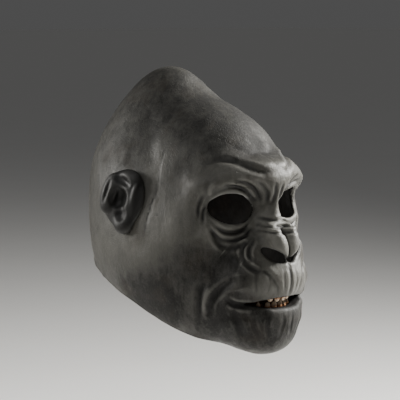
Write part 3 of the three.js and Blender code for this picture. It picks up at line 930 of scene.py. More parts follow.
def paint_and_light_tone(points: np.ndarray) -> np.ndarray:
    """Returns the colour tone at points, as three rows from the eye line: paint tone together with painted
    highlights and painted shade.
    """
    turn = np.degrees(np.arctan2(np.abs(points[0]), -(points[1] - CORE[1])))
    rise = points[2] / HEAD_HEIGHT
    total = np.full(points.shape[1], PLAIN_TONE * PLAIN_WEIGHT, FLOAT)
    weights = np.full(points.shape[1], PLAIN_WEIGHT, FLOAT)
    for patch in PAINT_AND_LIGHT_PATCHES:
        away = ((turn - patch.turn) / patch.wide) ** 2 + ((rise - patch.rise) / patch.tall) ** 2
        weight = np.exp(-away)
        total += weight * patch.tone
        weights += weight
    return total / weights


class Finish:
    """A node material that is filled step by step."""

    def __init__(self, name: str) -> None:
        """Starts a material with one shader and its output."""
        self.material = bpy.data.materials.new(name)
        self.material.use_nodes = True
        self.tree = self.material.node_tree
        self.shader = self.tree.nodes["Principled BSDF"]

    def node(self, kind: str, **settings: object) -> bpy.types.Node:
        """Adds a node.

        Args:
            kind: Its type without the leading ShaderNode.
            settings: Attributes to set on it.

        Returns:
            The node.
        """
        node = self.tree.nodes.new(f"ShaderNode{kind}")
        for key, value in settings.items():
            setattr(node, key, value)
        return node

    def link(self, source: bpy.types.NodeSocket, target: bpy.types.NodeSocket) -> None:
        """Joins two sockets."""
        self.tree.links.new(source, target)

    def place(self) -> bpy.types.NodeSocket:
        """Returns the object's own coordinates in metres."""
        return self.node("TexCoord").outputs["Object"]

    def layer(self, name: str) -> bpy.types.NodeSocket:
        """Returns a value kept in the mesh."""
        return self.node("Attribute", attribute_name=name).outputs["Fac"]

    def noise(self, scale: float, detail: float, rough: float = 0.55, warp: float = 0.0,
              stretch: tuple[float, float, float] = (1, 1, 1)) -> bpy.types.NodeSocket:
        """Adds cloudy noise.

        Args:
            scale: Waves a metre.
            detail: Octaves.
            rough: Strength of the fine octaves.
            warp: Distortion.
            stretch: Factor on each axis.

        Returns:
            The noise's value.
        """
        mapping = self.node("Mapping")
        mapping.inputs["Scale"].default_value = stretch
        self.link(self.place(), mapping.inputs["Vector"])
        noise = self.node("TexNoise")
        noise.inputs["Scale"].default_value = scale
        noise.inputs["Detail"].default_value = detail
        noise.inputs["Roughness"].default_value = rough
        noise.inputs["Distortion"].default_value = warp
        self.link(mapping.outputs["Vector"], noise.inputs["Vector"])
        return noise.outputs["Fac"]

    def cells(self, scale: float, feature: str) -> bpy.types.NodeSocket:
        """Returns the distance in a cell pattern with a number of cells a metre."""
        cells = self.node("TexVoronoi", feature=feature)
        cells.inputs["Scale"].default_value = scale
        self.link(self.place(), cells.inputs["Vector"])
        return cells.outputs["Distance"]

    def ramp(self, value: bpy.types.NodeSocket, low: float, high: float,
             start: float = 0.0, end: float = 1.0) -> bpy.types.NodeSocket:
        """Maps a value from low..high to start..end and holds it there."""
        node = self.node("MapRange", clamp=True)
        self.link(value, node.inputs["Value"])
        for socket, number in zip(("From Min", "From Max", "To Min", "To Max"), (low, high, start, end)):
            node.inputs[socket].default_value = number
        return node.outputs["Result"]

    def math(self, operation: str, a: bpy.types.NodeSocket,
             b: bpy.types.NodeSocket | float) -> bpy.types.NodeSocket:
        """Returns a sum, product or other of two values."""
        node = self.node("Math", operation=operation)
        self.link(a, node.inputs[0])
        if isinstance(b, (int, float)):
            node.inputs[1].default_value = b
        else:
            self.link(b, node.inputs[1])
        return node.outputs["Value"]

    def mix(self, share: bpy.types.NodeSocket, a: bpy.types.NodeSocket | tuple,
            b: bpy.types.NodeSocket | tuple) -> bpy.types.NodeSocket:
        """Returns a colour between a and b."""
        node = self.node("Mix", data_type="RGBA")
        self.link(share, node.inputs["Factor"])
        for key, colour in (("A", a), ("B", b)):
            socket = [s for s in node.inputs if s.name == key and s.type == "RGBA"][0]
            if isinstance(colour, tuple):
                socket.default_value = (*colour, 1)
            else:
                self.link(colour, socket)
        return [s for s in node.outputs if s.type == "RGBA"][0]

    def bump(self, heights: list[tuple[bpy.types.NodeSocket, float]]) -> None:
        """Adds relief to the shader.

        Args:
            heights: Pairs of a height from 0 to 1 and its full depth in millimetres.
        """
        normal = None
        for height, depth in heights:
            node = self.node("Bump")
            node.inputs["Strength"].default_value = 1.0
            node.inputs["Distance"].default_value = depth * MM
            self.link(height, node.inputs["Height"])
            if normal is not None:
                self.link(normal, node.inputs["Normal"])
            normal = node.outputs["Normal"]
        self.link(normal, self.shader.inputs["Normal"])

    def dress(self, piece: bpy.types.Object) -> None:
        """Puts the finish on a piece as its next material."""
        piece.data.materials.append(self.material)


@dataclass(frozen=True)
class SkinFinish:
    """Painted latex: satin charcoal, rubbed lighter on the raised parts, with painted shade in the folds,
    in broad hollows and round the nostrils and mouth, and painted highlights and shade by region.
    """

    # deep is painted shade in folds, hollows and round the holes; dark, pale and the rubbed colour follow
    # the tone, whose low end is painted shade and whose high end is painted highlight; the rubbed colour
    # also marks the rubbing on the raised parts, and pale the fine grain.
    deep: tuple[float, float, float] = (0.0022, 0.0019, 0.0014)
    dark: tuple[float, float, float] = (0.004, 0.0035, 0.0025)
    pale: tuple[float, float, float] = (0.064, 0.062, 0.054)
    worn_and_sheen: tuple[float, float, float] = (0.15, 0.147, 0.132)
    umber: tuple[float, float, float] = (0.02, 0.0145, 0.0085)
    low_rough: float = 0.46
    high_rough: float = 0.64

    def build(self) -> Finish:
        """Returns the finish."""
        skin = Finish("painted_skin")
        mottle = skin.ramp(skin.noise(20, 6, 0.62, 0.6, (1, 1, 0.6)), 0.34, 0.68, -0.24, 0.24)
        patches = skin.ramp(skin.noise(120, 5, 0.7, 0.4, (1, 1, 0.55)), 0.34, 0.68, -0.2, 0.2)
        tone = skin.math("ADD", skin.math("ADD", skin.layer("tone"), mottle), patches)
        # Tone runs from dark to pale and, above 1, on to the rubbed colour: painted shade at the low end,
        # painted highlights at the top.
        tint = skin.mix(skin.ramp(tone, 0.0, 1.0), self.dark, self.pale)
        tint = skin.mix(skin.ramp(tone, 1.0, 2.0), tint, self.worn_and_sheen)
        brown = skin.ramp(skin.noise(26, 4, 0.6, 0.8), 0.54, 0.72, 0.0, 0.55)
        tint = skin.mix(brown, tint, self.umber)
        grain = skin.ramp(skin.noise(480, 3, 0.65), 0.5, 0.74, 0.0, 0.22)
        tint = skin.mix(grain, tint, self.pale)
        raised = skin.ramp(skin.layer("fine_dent"), -0.02, -0.2, 0.0, 0.5)
        tint = skin.mix(raised, tint, self.worn_and_sheen)
        # Painted shade: the colour darkens in fine folds and in broad hollows.
        fold = skin.ramp(skin.layer("fine_dent"), 0.03, 0.35)
        tint = skin.mix(fold, tint, self.deep)
        broad = skin.ramp(skin.layer("broad_dent"), 0.1, 1.6, 0.0, 0.5)
        tint = skin.mix(broad, tint, self.deep)
        # Painted shade on the skin next to the nostrils and the mouth.
        tint = skin.mix(skin.layer("hole"), tint, self.deep)
        skin.link(tint, skin.shader.inputs["Base Color"])
        patchy = skin.ramp(skin.noise(24, 5, 0.65, 0.3), 0.35, 0.7, self.low_rough, self.high_rough)
        dull = skin.ramp(tone, 0.0, 0.4, 0.18, 0.0)
        skin.link(skin.math("ADD", patchy, dull), skin.shader.inputs["Roughness"])
        skin.shader.inputs["Specular IOR Level"].default_value = 0.28
        pores = skin.ramp(skin.cells(620, "F1"), 0.05, 0.55)
        lines = skin.ramp(skin.cells(230, "DISTANCE_TO_EDGE"), 0.0, 0.08)
        dabs = skin.noise(120, 4, 0.6, 0.6)
        skin.bump([(dabs, 0.34), (lines, 0.08), (pores, 0.08)])
        return skin


@dataclass(frozen=True)
class LatexFinish:
    """Bare latex on the inside and the cut edges: matt brown with pale rubbed patches, both darkened nearly
    to black as painted shade for the inside, and tan at the cut edges.
    """

    # Both body colours are darkened nearly to black as painted shade, so that the inside seen through the
    # holes looks shadowed.
    dark: tuple[float, float, float] = (0.0022, 0.0017, 0.0013)
    pale: tuple[float, float, float] = (0.014, 0.0095, 0.006)
    edge: tuple[float, float, float] = (0.2, 0.13, 0.065)

    def build(self) -> Finish:
        """Returns the finish."""
        latex = Finish("bare_latex")
        cloud = latex.ramp(latex.noise(55, 5, 0.65, 0.6), 0.4, 0.68, 0.0, 0.35)
        tint = latex.mix(cloud, self.dark, self.pale)
        ragged = latex.math("MULTIPLY", latex.layer("cut_edge"), latex.ramp(latex.noise(70, 3), 0.36, 0.5))
        tint = latex.mix(ragged, tint, self.edge)
        latex.link(tint, latex.shader.inputs["Base Color"])
        latex.link(latex.ramp(latex.noise(90, 4), 0.3, 0.7, 0.7, 0.9), latex.shader.inputs["Roughness"])
        latex.shader.inputs["Specular IOR Level"].default_value = 0.12
        latex.bump([(latex.noise(240, 5, 0.6), 0.5), (latex.noise(60, 3), 0.8)])
        return latex


@dataclass(frozen=True)
class EarFinish:
    """The ears' darker latex with a faint sheen painted on its ridges as a paler colour, and painted shade
    in its folds.
    """

    deep: tuple[float, float, float] = (0.002, 0.0018, 0.0015)
    body: tuple[float, float, float] = (0.0045, 0.0042, 0.0036)
    worn_and_sheen: tuple[float, float, float] = (0.036, 0.035, 0.031)

    def build(self) -> Finish:
        """Returns the finish."""
        ear = Finish("ear_latex")
        # Painted sheen: the ridges turn paler.
        raised = ear.ramp(ear.layer("fine_dent"), -0.05, -0.5, 0.0, 0.8)
        tint = ear.mix(raised, self.body, self.worn_and_sheen)
        # Painted shade: the folds turn darker.
        fold = ear.ramp(ear.layer("fine_dent"), 0.0, 0.5)
        tint = ear.mix(fold, tint, self.deep)
        ear.link(tint, ear.shader.inputs["Base Color"])
        ear.link(ear.ramp(ear.noise(60, 4, 0.6), 0.3, 0.7, 0.44, 0.62), ear.shader.inputs["Roughness"])
        ear.shader.inputs["Specular IOR Level"].default_value = 0.28
        ear.bump([(ear.noise(130, 5, 0.6, 0.5), 0.22), (ear.ramp(ear.cells(560, "F1"), 0.05, 0.5), 0.05)])
        return ear


@dataclass(frozen=True)
class GumFinish:
    """Wet orange-brown gums with darker mottling."""

    deep: tuple[float, float, float] = (0.06, 0.016, 0.007)
    body: tuple[float, float, float] = (0.22, 0.07, 0.022)

    def build(self) -> Finish:
        """Returns the finish."""
        gum = Finish("gum_latex")
        mottle = gum.ramp(gum.noise(160, 4, 0.6, 0.5), 0.35, 0.65)
        gum.link(gum.mix(mottle, self.body, self.deep), gum.shader.inputs["Base Color"])
        gum.link(gum.ramp(gum.noise(120, 3), 0.3, 0.7, 0.2, 0.4), gum.shader.inputs["Roughness"])
        gum.shader.inputs["Coat Weight"].default_value = 0.5
        gum.shader.inputs["Coat Roughness"].default_value = 0.15
        gum.bump([(gum.noise(300, 4), 0.35)])
        return gum


@dataclass(frozen=True)
class ToothFinish:
    """Cast teeth: ivory tips that turn tan and brown at the root, with fine lines up them."""

    ivory: tuple[float, float, float] = (0.9, 0.7, 0.5)
    tan: tuple[float, float, float] = (0.68, 0.36, 0.18)
    root: tuple[float, float, float] = (0.32, 0.1, 0.04)

    def build(self) -> Finish:
        """Returns the finish."""
        tooth = Finish("tooth_resin")
        stain = tooth.ramp(tooth.noise(260, 4, 0.6, 0.5), 0.35, 0.7, 0.0, 0.25)
        height = tooth.math("SUBTRACT", tooth.layer("up"), stain)
        tint = tooth.mix(tooth.ramp(height, 0.15, 0.55), self.tan, self.ivory)
        tint = tooth.mix(tooth.ramp(height, 0.12, -0.2), tint, self.root)
        tooth.link(tint, tooth.shader.inputs["Base Color"])
        tooth.link(tooth.ramp(tooth.noise(200, 3), 0.3, 0.7, 0.18, 0.34), tooth.shader.inputs["Roughness"])
        tooth.shader.inputs["Coat Weight"].default_value = 0.3
        tooth.bump([(tooth.noise(420, 3, 0.5, 0.0, (1, 1, 0.15)), 0.2)])
        return tooth


@dataclass(frozen=True)
class FloorFinish:
    """A plain pale floor with a barely seen grain."""

    pale: tuple[float, float, float] = (0.74, 0.735, 0.72)
    shade: tuple[float, float, float] = (0.71, 0.705, 0.69)

    def build(self) -> Finish:
        """Returns the finish."""
        floor = Finish("pale_floor")
        floor.link(floor.mix(floor.noise(6, 3), self.pale, self.shade), floor.shader.inputs["Base Color"])
        floor.shader.inputs["Roughness"].default_value = 0.7
        return floor


@dataclass
class MaskSkin:
    """The mask's one soft shell, from its crest down to its rim."""

    body: HeadBody
    lattice: SkinLattice
    keep_inside: float = 0.12
    longest_pull: float = 0.8
    inner_share: float = 0.8
    rim_margin: float = 6.0
    bare_share: float = 0.45
    edge_band: float = 3.0
    # Width of the painted shade round the nostrils and the mouth
    hole_shade_band: float = 1.8
    fine_span: float = 1.6
    broad_span: float = 7.0

    def build(self) -> bpy.types.Object:
        """Returns the shell as an object, without its finish."""
        places = self.lattice.positions()
        shape = places.shape[1:]
        values = self.body.skin(places.reshape(3, -1)).reshape(shape)
        corners, faces = net_surface(values, places, True)
        corners = pull_to_surface(corners, self.body.skin, PULLS, self.longest_pull)
        piece = make_object("latex_skin", corners, faces.tolist())
        self.close_top(piece)
        self.thin_inside(piece)
        return piece

    @staticmethod
    def close_top(piece: bpy.types.Object) -> None:
        """Closes the small holes at the very top of both surfaces."""
        shell = bmesh.new()
        shell.from_mesh(piece.data)
        holes = [e for e in shell.edges if e.is_boundary]
        filled = bmesh.ops.holes_fill(shell, edges=holes, sides=0)
        bmesh.ops.triangulate(shell, faces=filled["faces"])
        bmesh.ops.recalc_face_normals(shell, faces=shell.faces)
        shell.to_mesh(piece.data)
        shell.free()

    def thin_inside(self, piece: bpy.types.Object) -> None:
        """Makes the unseen inside coarser."""
        rows = corner_places(piece).T
        deep = self.body.plain(rows) < -self.inner_share * WALL
        keep = self.body.rim(rows) < -self.rim_margin
        group = piece.vertex_groups.new(name="inside")
        group.add(np.flatnonzero(deep & keep).tolist(), 1.0, "REPLACE")
        thin = piece.modifiers.new("thin", "DECIMATE")
        thin.ratio = (1 + self.keep_inside) / 2
        thin.vertex_group = group.name
        graph = bpy.context.evaluated_depsgraph_get()
        mesh = bpy.data.meshes.new_from_object(piece.evaluated_get(graph))
        piece.modifiers.clear()
        old = piece.data
        piece.data = mesh
        bpy.data.meshes.remove(old)
        mesh.name = piece.name

    @staticmethod
    def dent(field: Field, rows: np.ndarray, span: float) -> np.ndarray:
        """Measures how hollow the surface is.

        Args:
            field: Function of places as three rows.
            rows: Places as three rows.
            span: Distance to the places that are compared with each one.

        Returns:
            The mean rise around each place: positive in dents, negative on bumps.
        """
        total = -6 * field(rows)
        for way in np.concatenate([np.eye(3), -np.eye(3)]).astype(FLOAT) * FLOAT(span):
            total += field(rows + way[:, None])
        return -total / 6

    def keep_layers(self, piece: bpy.types.Object) -> None:
        """Keeps in the mesh what the finishes need: dents, tone with its painted highlights and shade,
        nearness to the holes for their painted shade, and cut edges.
        """
        rows = corner_places(piece).T
        store(piece, "fine_dent", self.dent(self.body.outside, rows, self.fine_span))
        store(piece, "broad_dent", self.dent(self.body.outside, rows, self.broad_span))
        # The tone holds painted highlights and painted shade together with the paint's own tone.
        store(piece, "tone", paint_and_light_tone(rows))
        half = self.body.folded(rows)
        # Painted shade: the skin darkens as it nears the nostrils and the mouth.
        near = np.min([cutter.distance(half) for cutter in CUTTERS if cutter.name != "eye hole"], axis=0)
        store(piece, "hole", np.clip(1 - near / self.hole_shade_band, 0, 1))
        store(piece, "cut_edge", np.clip(1 + self.body.rim(rows) / self.edge_band, 0, 1))

    def dress(self, piece: bpy.types.Object, outside: Finish, inside: Finish) -> None:
        """Gives each face its finish.

        Args:
            piece: The shell.
            outside: Finish of the painted side.
            inside: Finish of the bare side.
        """
        self.keep_layers(piece)
        for finish in (outside, inside):
            finish.dress(piece)
        rows = corner_places(piece).T
        depth = self.body.plain(rows) + np.maximum(self.body.creases(rows), 0)
        bare = depth < -self.bare_share * WALL
        mesh = piece.data
        starts = np.empty(len(mesh.polygons), np.int64)
        sizes = np.empty(len(mesh.polygons), np.int64)
        loops = np.empty(len(mesh.loops), np.int64)
        mesh.polygons.foreach_get("loop_start", starts)
        mesh.polygons.foreach_get("loop_total", sizes)
        mesh.loops.foreach_get("vertex_index", loops)
        share = np.add.reduceat(bare[loops].astype(FLOAT), starts) / sizes
        mesh.polygons.foreach_set("material_index", (share > 0.5).astype(np.int32))
        mesh.update()


# Out, back and up; the forms are in shares of these
EAR_SIZE = (16.0, 40.0, 60.0)
EAR_FORMS = (
    Form("shell", True, 0.18, -0.26, 0.02, 0.46, 0.6, 0.47, 0, 0, 0, 0.01),
    Form("top corner", True, 0.3, -0.4, 0.33, 0.3, 0.27, 0.14, 0, 0, 0, 0.3),
    Form("back edge", True, 0.45, 0.14, 0.08, 0.3, 0.22, 0.32, 10, 0, 0, 0.35),
    Form("lobe", True, 0.22, -0.36, -0.41, 0.36, 0.24, 0.14, -14, 0, 0, 0.4),
    Form("bowl", False, 0.9, -0.2, 0.0, 0.75, 0.25, 0.2, 8, 0, 0, 0.2),
    Form("bowl foot", False, 0.75, -0.3, -0.22, 0.4, 0.13, 0.12, -12, 0, 0, 0.25),
    Form("upper hollow", False, 0.78, -0.25, 0.3, 0.36, 0.26, 0.07, 24, 0, 0, 0.2),
    Form("rim channel", False, 0.95, 0.14, 0.12, 0.3, 0.055, 0.24, 12, 0, 0, 0.15),
    Form("front ridge", True, 0.42, -0.62, 0.1, 0.2, 0.06, 0.17, 8, 0, 0, 0.15),
    Form("inner fold", True, 0.4, -0.02, 0.06, 0.16, 0.05, 0.18, 16, 0, 0, 0.15),
    Form("front step", False, 0.62, -0.78, 0.0, 0.16, 0.05, 0.3, 10, 0, 0, 0.2),
)


@dataclass
class Ear:
    """One cast ear, glued on the side of the head."""

    body: HeadBody
    side: Side
    seat_back: float = 14.0
    seat_rise: float = 4.0
    flare: float = math.radians(10)
    gap: float = 0.3
    step: float = 0.8
    spans: tuple[tuple[float, float], ...] = ((-12, 17), (-38, 20), (-38, 34))
    cast_from: float = 120.0
    dent_rounds: int = 12

    def seat(self) -> tuple[np.ndarray, np.ndarray]:
        """Finds the ear's place on the +X side.

        Returns:
            The seat's place, and its axes out, back and up as columns.
        """
        origin = np.array([0, self.seat_back, self.seat_rise], FLOAT)[:, None]
        ray = np.array([1, 0, 0], FLOAT)[:, None]
        place = (origin + ray * self.body.cast(origin, ray, self.cast_from))[:, 0]
        nudges = np.concatenate([np.eye(3), -np.eye(3)], axis=1).astype(FLOAT) * FLOAT(PROBE)
        around = self.body.plain(place[:, None] + nudges)
        out = around[:3] - around[3:]
        out /= np.linalg.norm(out)
        back = np.cross([0, 0, 1], out)
        back /= np.linalg.norm(back)
        axes = np.stack([out, back, np.cross(out, back)], axis=1)
        c, s = math.cos(-self.flare), math.sin(-self.flare)
        return place, (axes @ np.array([[c, -s, 0], [s, c, 0], [0, 0, 1]])).astype(FLOAT)

    def build(self) -> bpy.types.Object:
        """Returns the ear as an object."""
        place, axes = self.seat()

        def world(local: np.ndarray) -> np.ndarray:
            """Returns places in the head's frame."""
            return axes @ local + place[:, None]

        def field(local: np.ndarray) -> np.ndarray:
            """Returns distances to the ear, trimmed to the head."""
            shape = melt_forms(EAR_FORMS, local, EAR_SIZE)
            return np.maximum(shape, self.gap - self.body.plain(world(local)))

        corners, faces = wrap_body(field, [np.arange(*span, self.step) for span in self.spans])
        corners = world(corners.T.astype(FLOAT)).T
        if self.side is Side.RIGHT:
            corners = corners * np.array([-1, 1, 1])
            faces = faces[:, ::-1]
        piece = make_object(f"ear_{self.side.name.lower()}_casting", corners, faces.tolist())
        keep_largest(piece)
        return piece

    def dress(self, piece: bpy.types.Object, finish: Finish) -> None:
        """Gives the ear its finish."""
        store(piece, "fine_dent", hollow_depth(piece, self.dent_rounds))
        finish.dress(piece)


@dataclass
class GumPlate:
    """One gum behind a lip, swollen between the teeth, with a thin sheet behind them.

    The way is 1 where the teeth stand up and -1 where they hang. Depths are measured in from the
    skin's outside, and the edge is the gum line's height.
    """

    body: HeadBody
    name: str
    edge: float
    way: int
    sheet_from: float
    depth_in: float = 4.6
    thickness: float = 7.6
    height: float = 13.4
    sweep: float = math.radians(74)
    edge_drop: float = 0.6
    swell: float = 0.5
    swells: float = 39.0
    sheet: float = 1.1
    sheet_over: float = 7.4
    bridge: float = 1.6
    bridge_drop: float = 1.2
    edge_round: float = 2.4
    end_round: float = 3.0
    centre: float = -70.0
    across: tuple[float, float] = (-47, 47.1)
    along: tuple[float, float] = (-130, -62)
    margin: float = 2.0
    step: float = 0.75

    def field(self, points: np.ndarray) -> np.ndarray:
        """Returns distances to the gum, for points as three rows."""
        depth = -(self.body.plain(points) + self.depth_in)
        layer = np.abs(depth - self.thickness / 2) - self.thickness / 2
        turn = np.arctan2(np.abs(points[0]), -(points[1] - self.centre))
        rise = (points[2] - self.edge) * self.way
        foot = -rise - self.height
        band = np.maximum(rise + self.edge_drop + self.swell * np.cos(turn * self.swells), foot)
        gum = melt_max(layer, band, self.edge_round)
        sheet = np.abs(depth - self.sheet_from - self.sheet / 2) - self.sheet / 2
        bridge = np.maximum(np.abs(depth - self.sheet_from) - self.bridge, rise + self.bridge_drop)
        back = np.maximum(np.minimum(sheet, bridge), np.maximum(rise - self.sheet_over, foot))
        end = (turn - self.sweep) * np.hypot(points[0], points[1] - self.centre)
        return melt_max(np.minimum(gum, back), end, self.end_round)

    def build(self) -> bpy.types.Object:
        """Returns the gum as an object."""
        ends = (self.edge + self.way * self.sheet_over, self.edge - self.way * self.height)
        low = min(ends) - self.margin
        high = low + self.height + self.sheet_over + 2 * self.margin
        spans = [np.arange(*span, self.step) for span in (self.across, self.along, (low, high))]
        corners, faces = wrap_body(self.field, spans)
        piece = make_object(f"{self.name}_casting", corners, faces.tolist())
        keep_largest(piece)
        return piece


@dataclass(frozen=True)
class ToothShape:
    """How a tooth narrows, thins and leans back on its way from root to tip, and where its end starts."""

    round_from: float
    narrowing: float
    power: float
    thinning: float
    lean: float


CANINE = ToothShape(0.72, 0.66, 1.2, 0.0, 0.9)
INCISOR = ToothShape(0.84, 0.06, 1.0, 0.35, 0.45)


@dataclass
class Tooth:
    """One tooth, from its root in the gum to its worn or pointed tip."""

    name: str
    shape: ToothShape
    sides: int = 24
    rings: int = 16
    flat: float = 0.8
    fill: float = 0.98
    body: float = 0.94
    neck: float = 0.86
    belly: float = 0.2
    belly_until: float = 0.8
    ridge: float = 0.03
    square: float = 0.85
    least: float = 0.04
    arch_centre: float = -70.0

    def size_at(self, t: float) -> float:
        """Returns the size in shares of the widest, at a share t of the way from root to tip."""
        past = max(t - self.shape.round_from, 0) / (1 - self.shape.round_from)
        round_in = math.sqrt(max(1 - past ** 2, 0.0))
        neck = self.neck + self.belly * math.sin(math.pi * min(t / self.belly_until, 1))
        taper = 1 - self.shape.narrowing * t ** self.shape.power
        return self.body * neck * taper * max(round_in, self.least)

    def ring(self, t: float, wide: float, turn: float) -> tuple[np.ndarray, np.ndarray]:
        """Shapes one ring of the tooth, which leans back towards its tip.

        Args:
            t: Share of the way from root to tip.
            wide: Half the widest width.
            turn: The tooth's turn in the arch.

        Returns:
            Offsets along x and y.
        """
        size = wide * self.size_at(t)
        lean = self.shape.lean * t ** 2
        thin = 1 - self.shape.thinning * t
        turns = np.linspace(0, 2 * math.pi, self.sides, endpoint=False)
        ridge = 1 + self.ridge * np.cos(4 * turns) * (1 - t)
        across = np.sign(np.cos(turns)) * np.abs(np.cos(turns)) ** self.square * size * ridge
        deep = np.sin(turns) * size * self.flat * thin - lean
        return (across * math.cos(turn) - deep * math.sin(turn),
                across * math.sin(turn) + deep * math.cos(turn))

    def faces(self) -> list[tuple[int, ...]]:
        """Returns the corner numbers of all faces; the two end corners come last."""
        faces = []
        for k in range(self.rings):
            for i in range(self.sides):
                j = (i + 1) % self.sides
                a, b = k * self.sides, (k + 1) * self.sides
                faces.append((a + i, a + j, b + j, b + i))
        top = self.rings * self.sides
        base, tip = top + self.sides, top + self.sides + 1
        faces += [((i + 1) % self.sides, i, base) for i in range(self.sides)]
        faces += [(top + i, top + (i + 1) % self.sides, tip) for i in range(self.sides)]
        return faces

    def build(self) -> bpy.types.Object:
        """Returns the tooth as an object, in the space of its node."""
        low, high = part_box(self.name)
        low, high = (np.array(corner) / MM - np.array(EYE_LINE) for corner in (low, high))
        middle = (low + high) / 2
        turn = math.atan2(middle[0], -(middle[1] - self.arch_centre))
        upper = self.name.startswith("upper")
        height = high[2] - low[2]
        half = (high[0] - low[0]) / 2
        wide = half * self.fill / math.sqrt(math.cos(turn) ** 2 + (self.flat * math.sin(turn)) ** 2)
        rings = []
        for k in range(self.rings + 1):
            t = k / self.rings
            x, y = self.ring(t, wide, turn)
            z = (high[2] - t * height) if upper else (low[2] + t * height)
            rings.append(np.stack([middle[0] + x, middle[1] + y, np.full_like(x, z)], axis=1))
        corners = np.concatenate([*rings, [rings[0].mean(0), rings[-1].mean(0)]])
        piece = make_object(f"{self.name}_casting", corners, self.faces())
        keep_largest(piece)
        share = (corner_places(piece)[:, 2] - low[2]) / height
        store(piece, "up", 1 - share if upper else share)
        return piece


@dataclass(frozen=True)
class Lamp:
    """A soft round light that looks at the mask.

    It hangs turned round from the front, positive to the wearer's left, and raised above the mask,
    in degrees, at a distance in metres.
    """

    name: str
    turn: float
    rise: float
    far: float
    size: float
    power: float
    tint: tuple[float, float, float]


LAMPS = (
    Lamp("rear_left_light", -140, 14, 1.4, 0.6, 21, (1.0, 0.985, 0.95)),
    Lamp("front_right_light", 66, 27, 1.5, 0.4, 104, (1.0, 0.985, 0.95)),
    Lamp("near_side_light", -80, 40, 1.8, 1.0, 9, (1.0, 0.99, 0.97)),
    Lamp("top_light", 0, 89, 2.4, 2.2, 9, (1.0, 0.99, 0.97)),
)


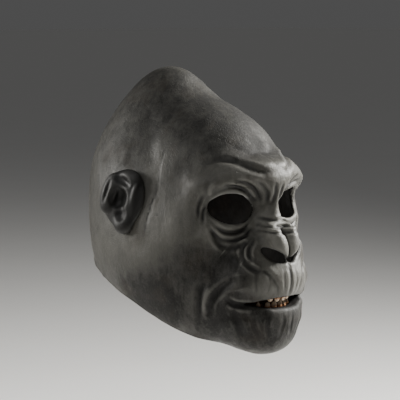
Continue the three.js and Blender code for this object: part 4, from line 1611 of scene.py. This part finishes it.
@dataclass
class Studio:
    """Floor, soft lights and the camera at the photograph's angle."""

    turn: float = math.radians(-42)
    rise: float = math.radians(7)
    distance: float = 1.5
    lens: float = 135.0
    floor_drop: float = 0.6
    floor_reach: float = 60.0
    centre: tuple[float, float, float] = (0.0, -0.015, -0.118)
    aim_right: float = 0.004
    aim_up: float = -0.003
    low_sky: float = 0.08
    high_sky: float = 0.12

    @staticmethod
    def way(turn: float, rise: float) -> Vector:
        """Returns the direction at a turn round from the front and a rise, in radians."""
        level = math.cos(rise)
        return Vector((math.sin(turn) * level, -math.cos(turn) * level, math.sin(rise)))

    def add_camera(self) -> None:
        """Places the camera and makes it the scene's."""
        back = self.way(self.turn, self.rise)
        right = Vector((math.cos(self.turn), math.sin(self.turn), 0))
        up = back.cross(right)
        aim = Vector(self.centre) + right * self.aim_right + up * self.aim_up
        data = bpy.data.cameras.new("camera")
        data.lens = self.lens
        camera = bpy.data.objects.new("camera", data)
        camera.location = aim + back * self.distance
        camera.rotation_euler = back.to_track_quat("Z", "Y").to_euler()
        bpy.context.scene.collection.objects.link(camera)
        bpy.context.scene.camera = camera

    def add_lamp(self, lamp: Lamp) -> None:
        """Hangs a light."""
        way = self.way(math.radians(lamp.turn), math.radians(lamp.rise))
        data = bpy.data.lights.new(lamp.name, "AREA")
        data.shape = "DISK"
        data.size = lamp.size
        data.energy = lamp.power
        data.color = lamp.tint
        light = bpy.data.objects.new(lamp.name, data)
        light.location = Vector(self.centre) + way * lamp.far
        light.rotation_euler = way.to_track_quat("Z", "Y").to_euler()
        bpy.context.scene.collection.objects.link(light)

    def add_floor(self, finish: Finish) -> None:
        """Lays the floor under the mask."""
        far, level = self.floor_reach, -self.floor_drop
        mesh = bpy.data.meshes.new("floor")
        corners = [(-far, -far, level), (far, -far, level), (far, far, level), (-far, far, level)]
        mesh.from_pydata(corners, [], [(0, 1, 2, 3)])
        floor = bpy.data.objects.new("floor", mesh)
        bpy.context.scene.collection.objects.link(floor)
        finish.dress(floor)

    def build(self, finish: Finish) -> None:
        """Sets up floor, lights, sky and camera."""
        self.add_floor(finish)
        for lamp in LAMPS:
            self.add_lamp(lamp)
        self.add_sky()
        self.add_camera()

    def add_sky(self) -> None:
        """Fills the room with even light, as dark at the horizon as the far floor."""
        world = bpy.data.worlds.new("studio")
        world.use_nodes = True
        tree = world.node_tree
        sky = tree.nodes["Background"]
        parts = tree.nodes.new("ShaderNodeSeparateXYZ")
        level = tree.nodes.new("ShaderNodeMapRange")
        tree.links.new(tree.nodes.new("ShaderNodeTexCoord").outputs["Generated"], parts.inputs["Vector"])
        tree.links.new(parts.outputs["Z"], level.inputs["Value"])
        level.inputs["To Min"].default_value = self.low_sky
        level.inputs["To Max"].default_value = self.high_sky
        sky.inputs["Color"].default_value = (1, 1, 1, 1)
        tree.links.new(level.outputs["Result"], sky.inputs["Strength"])
        bpy.context.scene.world = world


def attach(piece: bpy.types.Object, node: str) -> None:
    """Hides the imported part of the node that a piece stands for and hangs the piece on the root body.

    Args:
        piece: The piece.
        node: Name of the node.
    """
    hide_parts(node)
    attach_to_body(piece, "root")
    log.info("%s: %d faces", piece.name, len(piece.data.polygons))


def build_mask() -> None:
    """Builds every piece of the mask and its studio, in order."""
    body = HeadBody()
    skin = MaskSkin(body, SkinLattice(body))
    shell = skin.build()
    skin.dress(shell, SkinFinish().build(), LatexFinish().build())
    attach(shell, "mask_skin")
    ear_finish = EarFinish().build()
    for side in (Side.LEFT, Side.RIGHT):
        ear = Ear(body, side)
        piece = ear.build()
        ear.dress(piece, ear_finish)
        attach(piece, f"ear_{side.name.lower()}")
    gum_finish = GumFinish().build()
    upper = GumPlate(body, "upper_gum", edge=-84.0, way=-1, sheet_from=8.6)
    lower = GumPlate(body, "lower_gum", edge=-95.5, way=1, sheet_from=7.0)
    for gum in (upper, lower):
        piece = gum.build()
        gum_finish.dress(piece)
        attach(piece, gum.name)
    tooth_finish = ToothFinish().build()
    for name in sorted(frame["nodes"]):
        if "canine" in name or "incisor" in name:
            piece = Tooth(name, CANINE if "canine" in name else INCISOR).build()
            tooth_finish.dress(piece)
            attach(piece, name)
    Studio().build(FloorFinish().build())


if __name__ == "__main__":
    logging.basicConfig(level=logging.INFO, format="%(message)s")
    build_mask()
